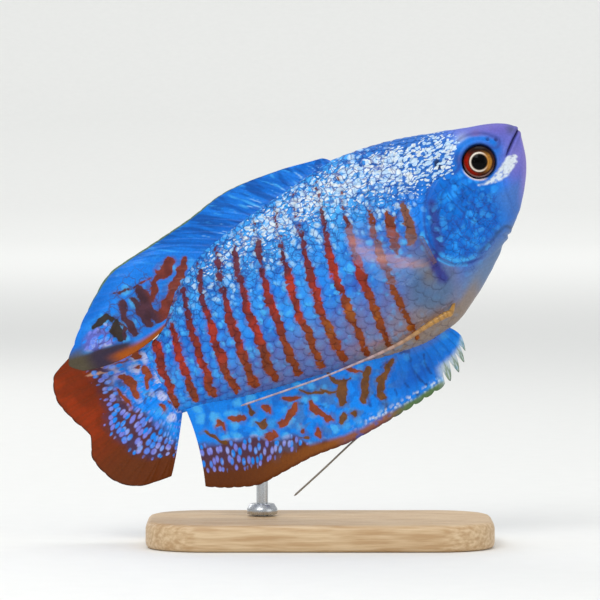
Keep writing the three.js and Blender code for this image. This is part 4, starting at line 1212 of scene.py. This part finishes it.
def dorsal_paint(s, r, crest, u, z):
    """Deep blue with dark and light streaks along the rays, an olive margin that widens rearwards,
    and a rear lobe with brown strokes at the root, a violet patch, a dark lower edge and an orange
    last ray."""
    streak = cloud(s * 46 + 3 * r, r * 1.7, 1.0, 81)
    hair = cloud(s * 120 + 5 * r, r * 2.4, 1.0, 85)
    wide = cloud(s * 14, r * 2.0, 1.0, 82)
    front = ease(s, 0.75, 0.6)
    rear = ease(s, 0.6, 0.8) * ease(r, 0.92, 0.7)
    streaks = (0.65 * ease(streak, 0.46, 0.2) + 0.3 * ease(wide, 0.4, 0.1)) * (0.3 + 0.7 * front)
    gleams = 0.6 * ease(streak, 0.74, 0.95) * ease(r, 1, 0.7)
    gleams = gleams + 0.45 * ease(hair, 0.78, 0.95) * front
    patch = ease(bell(u, z, 68.6, 4.6, 1.9 / 0.6, 1.9), 0.25, 0.6)
    dark = ease(z, dorsal_low(u) + 0.6, dorsal_low(u) - 0.2) * ease(u, 63.6, 66)
    rim = dorsal_rim(s)
    plain = 1 - np.maximum(dark, ease(s, 0.95, 0.97))
    shadow = ease(away(u, z, 61, 5.6, 5.4, 4.2), 1.15, 0.6) * ease(cloud(u, z, 1.3, 89), 0.4, 0.75)
    paint = lay(
        "dorsal_blue",
        ("azure", 0.6 * ease(wide, 0.5, 0.8)),
        ("ray_blue", streaks),
        ("ray_blue", 0.45 * ease(hair, 0.35, 0.1) * front),
        ("sky", gleams),
        ("frost", 0.5 * ease(hair, 0.86, 0.97) * ease(r, 0.5, 0.2) * front),
        ("azure", 0.7 * rear),
        ("violet", 0.75 * patch),
        ("bark", 0.94 * dark),
        ("moss", 0.75 * ease(u, 70.5, 73) * ease(z, 5.4, 4.2)),
        ("orange", ease(s, 0.965, 0.985) * ease(r, 0.7, 0.5)),
        ("olive", 0.9 * ease(r + 0.03 * (streak - 0.5), rim - 0.012, rim + 0.012)),
        ("dusk", 0.55 * shadow * plain),
    )
    brown, black = stroke_depth(u, z, DORSAL_MARKS, 83), stroke_depth(u, z, DORSAL_DARK, 88)
    tone = lay(
        "maroon",
        ("chestnut", ease(u, 60.2, 58.6) * 0.9),
        ("soot", ease(black, brown - 0.05, brown + 0.05)),
    )
    net = np.maximum(0.06 * shadow, 0.1 * rear * ease(u, 55, 59))
    return paint, tone, fin_marks(plain, 0.56 * patch, net, 0.95 * rear, np.maximum(brown, black))


def anal_paint(s, r, crest, u, z):
    """Bright blue, deeper in front, with rust and brown strokes and a brown net, then a dusky band
    of small ovals that widens rearwards, a brown outer edge, an olive front edge and spines, and
    dark seams behind them."""
    mottle = cloud(u, z, 1.6, 91)
    front, band, rim = ease(s, 0.42, 0.2), anal_band(u), anal_rim(s)
    deeper = 0.2 * front + 0.75 * bell(u, z, 29, -22, 2.2 / 0.45, 2.2) + 0.25 * (1 - mottle)
    outer = ease(z + 0.9 * (mottle - 0.5), band + 0.7, band - 0.5) * ease(u, 43.6, 45.5)
    edge = ease(r + 0.05 * (mottle - 0.5), rim - 0.04, rim + 0.04)
    pearls = ease(cells(u, z, 0.7, 99)[0], 0.4, 0.25) * hump(r, rim - 0.05, 0.05)
    spines = ease(s, 0.17, 0.13) * ease(r, 0.5, 0.66)
    soft = ease(cloud(*warp(u, z, 2, 1.5, 90), 1.7, 98), 0.5, 0.72)
    soft = soft * ease(s, 0.24, 0.36) * ease(s, 0.82, 0.6) * ease(r, 0.9, 0.75)
    gap = ease(cloud(*warp(u, z, 1.5, 1.0, 92), 0.9, 93), 0.42, 0.25) * ease(s, 0.2, 0.4)
    edge_tone = lay(
        "umber",
        ("copper", 0.85 * ease(s, 0.95, 0.45) * (1 - ease(r, 0.94, 1))),
        ("olive", ease(s, 0.36, 0.26)),
    )
    paint = lay(
        "fin_blue",
        ("deep", deeper),
        ("ink", 0.8 * strokes(u, z, ANAL_SEAMS, 94) + 0.3 * crest * front),
        ("lavender", 0.35 * ease(r, 0.2, 0.04) * ease(s, 0.4, 0.1)),
        (lay("dusk", ("umber", 0.25 + 0.6 * ease(r, 0.6, 0.85))), outer),
        (edge_tone, 0.95 * edge),
        ("silver", 0.75 * pearls * ease(s, 0.5, 0.35)),
        ("spine", 0.95 * spines),
        ("olive", 0.7 * spines * ease(crest + 0.6 * ease(r, 0.7, 0.95), 0.5, 0.95)),
        ("spine_tip", 0.8 * spines * ease(r, 0.93, 1.0)),
        ("steel_blue", 0.5 * soft),
        ("deep", 0.5 * gap * (1 - outer)),
    )
    brown, rust = stroke_depth(u, z, ANAL_BROWN, 95), stroke_depth(u, z, ANAL_RUST, 96)
    tone = lay("fin_rust", ("tan", ease(brown, rust - 0.05, rust + 0.05)))
    glint = (0.9 * ease(s, 0.3, 0.5) + 0.4 * front) * (1 - outer)
    return paint, tone, fin_marks(
        1 - edge, 0.55 * outer * (0.8 + 0.2 * mottle), 0.05 * front, glint, np.maximum(brown, rust)
    )


def tail_paint(s, r, crest, u, z):
    """Blue and pale blue with rust patches at the root, a violet and lilac net above, a dusky band
    of lilac spots drawn out along the rays, then brick red to the margin, browner below."""
    mottle = cloud(u, z, 1.5, 101)
    gap = ease(cloud(*warp(u, z, 1.4, 1.2, 110), 1.0, 112), 0.46, 0.3)
    slope = -1.2 - 0.55 * (u - 66)
    violet = ease(z, slope, slope + 2.4) * ease(u, 65, 67.5)
    start, outer, floor = tail_band(z), tail_red(z), tail_low(u)
    band = ease(u + 1.6 * (cloud(u, z, 1.2, 106) - 0.5), start - 1.2, start + 0.9)
    shift = 1.2 * (cloud(u, z, 1.4, 108) - 0.5)
    red = ease(u + shift, outer - 1.2, outer + 0.9)
    red = np.maximum(red, ease(z + shift, floor + 0.8, floor - 0.9))
    slope = -0.1 + 0.35 * (u - 70)
    dark = ease(z, slope, slope + 0.9) * ease(u, 69.5, 71) * ease(u, 75.5, 73.5)
    red_tone = lay(
        "brick",
        ("umber", ease(s, 0.45, 0.8) * 0.85),
        ("fire", 0.6 * ease(cloud(u, z, 2.2, 109), 0.4, 0.75) * ease(s, 0.7, 0.4)),
        ("umber", 0.25 * crest),
        ("margin", 0.8 * ease(r, 0.975, 0.995)),
    )
    paint = lay(
        "fin_blue",
        ("sky", 0.6 * ease(mottle, 0.5, 0.85)),
        ("deep", 0.4 * ease(mottle, 0.35, 0.1)),
        (lay("dusk", ("deep", ease(z, -6, -9))), 0.6 * gap),
        (lay("lavender", ("pale_lilac", ease(mottle, 0.35, 0.7))), 0.8 * violet),
        (lay("dusk", ("umber", 0.6 * ease(cloud(u, z, 1.8, 107), 0.35, 0.8))), band),
        (red_tone, red),
        ("salmon", 0.85 * strokes(u, z, TAIL_PALE, 111)),
        ("orange", 0.8 * strokes(u, z, TAIL_ORANGE, 113)),
        ("mud", 0.7 * dark),
    )
    spots = 0.56 * band + 0.3 * (1 - band) + 0.25 * violet * (1 - band)
    depth = stroke_depth(u, z, TAIL_MARKS, 104)
    marks = fin_marks(1 - np.maximum(red, dark), spots, 0.05 * (1 - band), 1 - band, depth)
    return paint, np.broadcast_to(colour("fin_rust"), paint.shape), marks


def build_median_fins():
    """Dorsal, anal and tail fins, each from its own outline: its rays, the columns of points across
    each and the rows along it, the half thickness of web and ridge, and the share of each ray where
    it parts. The spots of each are laid so many across the rays and so many along them."""
    # Fin web over bony rays: thin wet skin, so a soft sheen with a fine clear coat
    web = marked_skin(
        "ray fin web", 0.015, 0.3, cell_size=1.9, dash_tones=("spot", "fin_blue", "fin_pale"),
        line="fin_net", rough=0.75, laid=True,
    )

    def fleshy_foot(s):
        """Foot of the tail fin: the square root of half a sine, so thickest in the middle."""
        return 0.1 + 0.8 * np.sqrt(np.sin(math.pi * np.clip(s, 0, 0.999)))

    def spiny_notch(s):
        """Deep notches between the spines in front, and shallow ones between the rays."""
        return np.where(s < 0.14, 0.4, 0.008 + 0.03 * ease(s, 0.4, 0.2))

    fins = (
        ("dorsal_fin", dorsal_middle, dorsal_paint, "fin_web", (46, 12), True, dict(
            rays=23, columns=10, rows=74, web=0.17, ridge=0.12, branch=0.5,
            foot=lambda s: 0.45, notch=lambda s: 0.02 - 0.012 * s,
        )),
        ("anal_fin", anal_middle, anal_paint, "fin_web", (60, 9), False, dict(
            rays=28, columns=10, rows=74, web=0.17, ridge=0.12, branch=0.6,
            foot=lambda s: 0.45, notch=spiny_notch,
        )),
        ("tail_fin", tail_middle, tail_paint, "tail_web", (30, 12), True, dict(
            rays=14, columns=16, rows=96, web=0.2, ridge=0.16, branch=0.35,
            foot=fleshy_foot, notch=lambda s: 0.008,
        )),
    )
    for name, middle_of, painter, slot, spots, flip, build in fins:
        faces, s, r, crest = ray_fin(middle_of, np.array([0.0, -1.0, 0.0]), **build)
        paint, tone, marks = painter(s, r, crest, -faces[0, ..., 0], faces[0, ..., 2])
        lie = grid_of(s * spots[0], r * spots[1], 0)
        put_sheet(name, faces, web, {"paint": paint, "tone": tone, "lay": lie, **marks}, flip)


PECTORAL_U, PECTORAL_TOP, PECTORAL_BOTTOM = 19.6, -4.4, -8.8
PECTORAL_OUT, PECTORAL_FOOT = 0.34, 0.62
pectoral_angle = through((0, 0.78), (0.5, 0.36), (1, -0.22))
pectoral_length = through((0, 9.6), (0.2, 12), (0.5, 11), (0.8, 7.6), (1, 4.6))


def build_pectoral(side):
    """Pectoral fin: rays of each share's own length and angle from a short root behind the gill
    cover, swung out from the flank."""

    def middle_of(s, r):
        """Middle of the fin: rays fanned out from the root line, swung out and a little bowed."""
        root_z = PECTORAL_TOP + (PECTORAL_BOTTOM - PECTORAL_TOP) * s
        reach = pectoral_length(s) * r
        u = PECTORAL_U + reach * np.cos(pectoral_angle(s)) - 0.5 * (1 - r)
        start = flank(PECTORAL_U, root_z) + 0.3 + PECTORAL_FOOT * ease(r, 0, 0.12)
        start = start - 0.5 * ease(r, 0.1, 0)
        out = start + reach * PECTORAL_OUT + 0.9 * np.sin(math.pi * r) * (1 - s)
        return grid_of(-u, side * out, root_z + reach * np.sin(pectoral_angle(s)))

    face = np.array([PECTORAL_OUT, side, 0.0])
    faces, s, r, crest = ray_fin(
        middle_of, face / np.linalg.norm(face), rays=9, columns=10, rows=48, web=0.1, ridge=0.1,
        foot=lambda s: 0.25, notch=lambda s: 0.03, branch=0.45,
    )
    smear = hump(s, 0.95 - 0.7 * r, 0.16) * ease(r, 1.05, 0.8)
    smear = smear * (0.3 + 0.7 * cloud(s * 24, r * 5, 1.0, 115))
    paint = lay(
        "web", ("smear", 0.95 * ease(smear, 0.1, 0.5)), ("web_root", 0.8 * ease(r, 0.25, 0.02))
    )
    veil = 0.04 + 0.4 * smear * ease(r, 0.1, 0.45) + 0.07 * crest + 0.05 * ease(r, 0.95, 1)
    veil = veil + 0.4 * ease(r, 0.12, 0)
    material = once("clear pectoral web", pectoral_material)
    put_sheet(
        "pectoral_fin_" + SIDES[side], faces, material,
        {"paint": paint, "veil": veil}, side == RIGHT,
    )


def pectoral_material(name):
    """Clear fin web: only its rays, root and upper edge are seen, so its alpha follows them."""
    return new_material(
        name, 0.015, 0.08, 0.3, (0.3, 0.45), Coat_Weight=0.05, Coat_Roughness=0.15,
        Specular_IOR_Level=0.15,
        Alpha=lambda node: node("Attribute", attribute_name="veil").outputs["Fac"],
    )


FEELER_ROOT, FEELER_TIP, THREAD_TIP = 0.62, 0.24, 0.15
THREAD_RINGS, THREAD_AROUND = 320, 14


def thread(stations):
    """A tapering thread along a smooth line: rings of points round the line, square to its
    direction, swelling and narrowing a little like a jointed ray, and pointed at the tip; and each
    ring's share of the line."""
    line = smooth_line(stations, THREAD_RINGS)
    share = np.linspace(0, 1, THREAD_RINGS)
    radius = FEELER_ROOT + (THREAD_TIP - FEELER_ROOT) * ease(share, -0.2, 0.75)
    radius = radius * (1 + 0.035 * np.cos(share * JOINT_PHASE))
    radius = radius * (0.25 + 0.75 * ease(share, 1.0, 0.985)) * (0.32 + 0.68 * ease(share, 0, 0.09))
    ahead = np.gradient(line, axis=0)
    ahead /= np.linalg.norm(ahead, axis=1, keepdims=True)
    across = np.cross(ahead, [0.0, 1.0, 0.0])
    across /= np.linalg.norm(across, axis=1, keepdims=True)
    turn = turns(THREAD_AROUND)[None, :, None]
    spokes = across[:, None] * np.cos(turn) + np.cross(ahead, across)[:, None] * np.sin(turn)
    return line[:, None] + radius[:, None, None] * spokes, share[:, None]


def beside_flank(u, z, radius):
    """How far out a thread must lie to clear the flank and the anal fin's foot: the furthest of the
    flank's half widths round the thread's own circle."""
    keep = (radius + 0.3) * 1.08
    out = 0.96 + keep
    for a in np.arange(-6, 7) / 12 * math.pi:
        level = z + keep * math.sin(a)
        reach = flank(u, level) + keep * math.cos(a)
        out = np.where(level > belly(u), np.maximum(out, reach), out)
    return out


def build_feelers():
    """The two thread-like pelvic fins: the right one lies along the belly's edge, the left one
    trails down behind the anal fin."""
    u, z = smooth_line(
        [(20.6, -16.4), (24, -16.5), (30, -17), (37.5, -16.6), (44, -15.9), (55, -14.2)], 17
    ).T
    radius = FEELER_ROOT + (FEELER_TIP - FEELER_ROOT) * np.minimum(1, np.linspace(0, 1.15, 17))
    beside = beside_flank(u, z, radius)
    right = np.concatenate([[(-19.2, 1.7 - beside[0], -15.2)], grid_of(-u, sway(u) - beside, z)])
    clear = float(beside_flank(np.array(20.6), np.array(-16.4), FEELER_ROOT)) + 0.1
    u, y, z = np.array([
        (19.0, clear - 1.6, -14.8), (20.3, clear - 0.2, -16.2), (22.2, clear + 0.4, -18.6),
        (26, 2.9, -21.6), (33, 2, -24.6), (42.4, 1.5, -26.9), (48.6, 1.4, -28.6),
        (54.4, 1.2, -30.1),
    ]).T
    left = grid_of(-u, y + sway(u), z)
    # Moist skin over one jointed ray: a soft low gloss, with faint rings from its joints
    material = new_material(
        "feeler skin", 0.01, 0.15, 0.2, (0.35, 0.5), Coat_Weight=0.2, Coat_Roughness=0.2
    )
    threads = ("feeler_right", right, "thread_tip"), ("feeler_left", left, "left_tip")
    for name, stations, tip in threads:
        rings, share = thread(stations)
        joints = 0.3 * (np.cos(share * JOINT_PHASE) < -0.4)
        paint = lay("thread", (tip, ease(share, 0.25, 0.7)), ("joint", joints))
        paint = np.broadcast_to(paint, rings.shape)
        put_tube(name + "_thread", in_room(rings), [name], material, {"paint": paint})


ROD_SUNK = 0.4 * MM  # how far the rod goes into the fish, so that no gap shows


def rod_top(x, y, low, high):
    """Height at which an upright line at each place meets the fish: the first of many heights that
    lies inside the body's section there, or the top of the rod's box."""
    heights = np.linspace(low, high, 400)[:, None]
    back_x, up_z = x / MM - SNOUT_X, heights / MM - SNOUT_Z
    u = -(back_x * math.cos(PITCH) + up_z * math.sin(PITCH))
    z = up_z * math.cos(PITCH) - back_x * math.sin(PITCH)
    within = (np.abs(y / MM - sway(u)) < flank(u, z)) & (z > belly(u))
    return np.where(within.any(0), heights[within.argmax(0), 0], high)


def build_stand():
    """Base: a ring of a rectangle with quarter-round corners, carried up a profile with softened
    edges. Rod: a plain round rod, cut at its top where it meets the fish. Collar: a ring turned to
    a stepped and sloped profile."""
    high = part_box("stand_base")[1]
    top, corner, around = high.z, 0.009, 240
    inset, height = np.array([
        (0.0009, 0.0), (0.0004, 0.00012), (0.00012, 0.0004), (0.0, 0.0009), (0.0, top - 0.001),
        (0.00014, top - 0.00045), (0.0005, top - 0.00013), (0.001, top), (0.003, top),
    ]).T[:, :, None]
    turn = turns(around) + math.pi / around
    x, y = [
        np.sign(out) * (reach - corner) + (corner - inset) * out
        for out, reach in ((np.cos(turn), high.x), (np.sin(turn), high.y))
    ]
    # Birch, sanded and waxed: pale, with long fine grain and a dull satin sheen
    wood = new_material("satin birch wood", 0.01, 0, 0.6, (0.42, 0.55), grain_of_wood)
    put_tube("stand_base_plate", grid_of(x, y, height), ["stand_base"], wood)
    # Stainless steel rod, brushed: a grey metal whose reflections are blurred by fine scratches
    grey = (*colour("steel"), 1)
    steel = new_material(
        "brushed stainless steel", 0.002, 0.04, 0.3, (0.22, 0.36), grey, Metallic=1.0
    )
    low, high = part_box("stand_rod")
    x, y, r = (low.x + high.x) / 2, (low.y + high.y) / 2, (high.x - low.x) / 2
    turn = turns(40)
    rod_x, rod_y = x + r * np.cos(turn), y + r * np.sin(turn)
    tall = np.minimum(rod_top(rod_x, rod_y, low.z, high.z) + ROD_SUNK, high.z) - low.z
    rod = grid_of(rod_x, rod_y, low.z + tall * np.array([0, 0.1, 0.3, 0.7, 0.95, 1])[:, None])
    put_tube("stand_rod_bar", rod, ["stand_rod"], steel)
    low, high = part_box("stand_collar")
    wide, share = np.array([
        (0.42, 0), (0.96, 0), (1, 0.06), (1, 0.5), (0.94, 0.62), (0.82, 0.93), (0.76, 1), (0.42, 1),
    ]).T[:, :, None]
    r, turn = wide * (high.x - low.x) / 2, turns(64)
    collar = grid_of(x + r * np.cos(turn), y + r * np.sin(turn), low.z + share * (high.z - low.z))
    put_tube("stand_collar_ring", collar, ["stand_collar"], steel)


def grain_of_wood(node):
    """Long fine grain: noise stretched 14 times along the board, about 0.5 mm across it."""
    place = node("TexCoord").outputs["Object"]
    stretch = node("Mapping", place, Scale=(150.0, 2100.0, 2100.0))
    grain = node("MapRange", node("TexNoise", stretch, Scale=1.0, Detail=4.0), 0.35, 0.65)
    dark, light = [(*colour(tone), 1) for tone in ("birch", "pale_birch")]
    return node("Mix", data_type="RGBA", Factor=grain, A=dark, B=light)


def build_stage(stage):
    """Floor, world, lights and camera. The floor is a wide flat disc that curves up at its far rim;
    the camera looks along +Y, and one pixel of a 600-pixel view is 0.15 mm at the fish."""
    reach, height = np.array([
        (0.02, 0), (0.3, 0), (1, 0), (2, 0), (2.3, 0.015), (2.6, 0.07), (2.8, 0.18), (2.95, 0.38),
        (3, 0.6),
    ]).T[:, :, None]
    turn = turns(96)
    points = grid_of(reach * np.cos(turn), reach * np.sin(turn), height)
    faces = ring_faces(*points.shape[:2])[:, ::-1].tolist() + [list(range(len(turn)))]
    # Matt wall paint on board: pale, with hardly any gloss
    pale = (*stage.floor_colour, 1)
    paint = new_material("matt painted floor", 0.01, 0.01, 4, (0.7, 0.8), pale)
    floor = solid("floor", points, faces, paint)
    scene = bpy.context.scene
    scene.world = bpy.data.worlds.new("studio")
    scene.world.use_nodes = True
    sky = scene.world.node_tree.nodes["Background"].inputs
    sky["Color"].default_value = (*stage.sky_colour, 1)
    sky["Strength"].default_value = stage.sky_strength
    fish, ground, key = (0.0, 0.0, 0.035), (0.0, 2.5, 0.05), stage.key_power
    for name, spot, aim, size, power in (
        ("key", (-0.18, -0.42, 0.46), fish, 0.3, key),
        ("fill", (0.5, -0.34, 0.16), fish, 0.4, key * 0.3),
        ("top", (0.05, 0.12, 0.6), fish, 0.35, key * 0.5),
        ("rim", (-0.3, 0.45, 0.3), fish, 0.25, key * 0.35),
        ("backdrop", (0.0, 1.5, 1.2), ground, 0.8, stage.backdrop_power),
    ):
        lamp = to_scene(name, bpy.data.lights.new(name, "AREA"))
        lamp.data.size, lamp.data.energy = size, power
        aim_at(lamp, np.array(spot), np.array(aim))
    camera = scene.camera = to_scene("camera", bpy.data.cameras.new("camera"))
    lens, rise, distance = camera.data, stage.camera_rise, stage.camera_distance
    lens.sensor_width = 36
    lens.lens = lens.sensor_width * distance / stage.view_width
    lens.clip_start, lens.clip_end = 0.01, 50
    # The middle of the view, behind and below the snout as in the photo
    target = np.array([SNOUT_X - 33.0, 0.0, SNOUT_Z - 22.5]) * MM
    aim_at(camera, target + distance * np.array([0.0, -math.cos(rise), math.sin(rise)]), target)
    scene.view_settings.view_transform = "Standard"


def aim_at(made, spot, aim):
    """Puts a lamp or camera at its spot and turns it to its aim."""
    x, y, z = aim - spot
    made.location = spot
    made.rotation_euler = (math.atan2(math.hypot(x, y), -z), 0.0, math.atan2(-x, y))


class GouramiShape(bpy.types.PropertyGroup):
    skin_rings: bpy.props.IntProperty(
        name="Skin rings", description="Rings of the skin from snout to tail", default=380, min=40
    )
    skin_points: bpy.props.IntProperty(
        name="Points round", description="Points round each ring of the skin", default=236, min=24
    )
    scale_spacing: bpy.props.FloatProperty(
        name="Scale spacing", description="Distance between scales on the mid flank",
        default=0.00172, unit="LENGTH", precision=5,
    )
    scale_lift: bpy.props.FloatProperty(
        name="Scale depth", description="How far the skin lies under the fish's outline",
        default=0.0002, unit="LENGTH", precision=5,
    )


class GouramiStage(bpy.types.PropertyGroup):
    floor_colour: bpy.props.FloatVectorProperty(
        name="Floor", description="Colour of the floor", subtype="COLOR", default=linear("#ecece9")
    )
    sky_colour: bpy.props.FloatVectorProperty(
        name="Surround", description="Colour of the light all round", subtype="COLOR",
        default=linear("#f6f8fa"),
    )
    sky_strength: bpy.props.FloatProperty(
        name="Surround strength", description="Strength of the light all round", default=0.72
    )
    key_power: bpy.props.FloatProperty(
        name="Key light", description="Power of the main lamp", default=1.5, unit="POWER"
    )
    backdrop_power: bpy.props.FloatProperty(
        name="Backdrop light", description="Power of the lamp on the floor's far side", default=8.5,
        unit="POWER",
    )
    view_width: bpy.props.FloatProperty(
        name="View width", description="Width of the view at the fish", default=0.09, unit="LENGTH"
    )
    camera_distance: bpy.props.FloatProperty(
        name="Camera distance", description="From the camera to the fish", default=0.7,
        unit="LENGTH",
    )
    camera_rise: bpy.props.FloatProperty(
        name="Camera rise", description="Camera's angle above the fish", default=math.radians(2),
        subtype="ANGLE",
    )


GouramiColours = type(
    "GouramiColours",
    (bpy.types.PropertyGroup,),
    {"__annotations__": {
        key: bpy.props.FloatVectorProperty(
            name=label, description=words, subtype="COLOR", default=linear(code)
        )
        for key, label, words, code in PALETTE
    }},
)


class GOURAMI_OT_skin(bpy.types.Operator):
    """Build the skin of the head and body"""

    bl_idname = "gourami.skin"
    bl_label = "Skin"

    def execute(self, context):
        build_skin(context.scene.gourami_shape)
        return {"FINISHED"}


class GOURAMI_OT_scales(bpy.types.Operator):
    """Build the overlapping scales of both sides"""

    bl_idname = "gourami.scales"
    bl_label = "Scales"

    def execute(self, context):
        for side in SIDES:
            build_scales(context.scene.gourami_shape, side)
        return {"FINISHED"}


class GOURAMI_OT_eyes(bpy.types.Operator):
    """Build both eyes"""

    bl_idname = "gourami.eyes"
    bl_label = "Eyes"

    def execute(self, context):
        for side in SIDES:
            build_eye(side)
        return {"FINISHED"}


class GOURAMI_OT_median_fins(bpy.types.Operator):
    """Build the dorsal, anal and tail fins"""

    bl_idname = "gourami.median_fins"
    bl_label = "Dorsal, anal and tail fins"

    def execute(self, context):
        build_median_fins()
        return {"FINISHED"}


class GOURAMI_OT_pectoral_fins(bpy.types.Operator):
    """Build both pectoral fins"""

    bl_idname = "gourami.pectoral_fins"
    bl_label = "Pectoral fins"

    def execute(self, context):
        for side in SIDES:
            build_pectoral(side)
        return {"FINISHED"}


class GOURAMI_OT_feelers(bpy.types.Operator):
    """Build both thread-like feelers"""

    bl_idname = "gourami.feelers"
    bl_label = "Feelers"

    def execute(self, context):
        build_feelers()
        return {"FINISHED"}


class GOURAMI_OT_stand(bpy.types.Operator):
    """Build the display stand"""

    bl_idname = "gourami.stand"
    bl_label = "Stand"

    def execute(self, context):
        build_stand()
        return {"FINISHED"}


class GOURAMI_OT_stage(bpy.types.Operator):
    """Build the floor, lights and camera"""

    bl_idname = "gourami.stage"
    bl_label = "Stage"

    def execute(self, context):
        build_stage(context.scene.gourami_stage)
        return {"FINISHED"}


OPERATORS = (
    GOURAMI_OT_stage, GOURAMI_OT_skin, GOURAMI_OT_scales, GOURAMI_OT_eyes, GOURAMI_OT_median_fins,
    GOURAMI_OT_pectoral_fins, GOURAMI_OT_feelers, GOURAMI_OT_stand,
)


class GOURAMI_PT_pieces(bpy.types.Panel):
    """Lists the fish's pieces and their settings"""

    bl_label = "Gourami"
    bl_idname = "GOURAMI_PT_pieces"
    bl_space_type = "VIEW_3D"
    bl_region_type = "UI"
    bl_category = "Gourami"

    def draw(self, context):
        for operator in OPERATORS:
            self.layout.operator(operator.bl_idname)
        scene = context.scene
        for group in (scene.gourami_shape, scene.gourami_stage, scene.gourami_colours):
            box = self.layout.box()
            for key in group.bl_rna.properties.keys():
                if key not in ("rna_type", "name"):
                    box.prop(group, key)


GROUPS = (GouramiShape, GouramiStage, GouramiColours)


def register():
    """Registers the settings, the operators and the panel."""
    for item in (*GROUPS, *OPERATORS, GOURAMI_PT_pieces):
        bpy.utils.register_class(item)
    bpy.types.Scene.gourami_shape = bpy.props.PointerProperty(type=GouramiShape)
    bpy.types.Scene.gourami_stage = bpy.props.PointerProperty(type=GouramiStage)
    bpy.types.Scene.gourami_colours = bpy.props.PointerProperty(type=GouramiColours)


def unregister():
    """Takes them out again in the opposite order."""
    del bpy.types.Scene.gourami_colours
    del bpy.types.Scene.gourami_stage
    del bpy.types.Scene.gourami_shape
    for item in (GOURAMI_PT_pieces, *reversed(OPERATORS), *reversed(GROUPS)):
        bpy.utils.unregister_class(item)


def main():
    """Builds every piece by its operator."""
    register()
    for operator in OPERATORS:
        family, name = operator.bl_idname.split(".")
        getattr(getattr(bpy.ops, family), name)()
    bpy.context.view_layer.update()


if __name__ == "__main__":
    main()
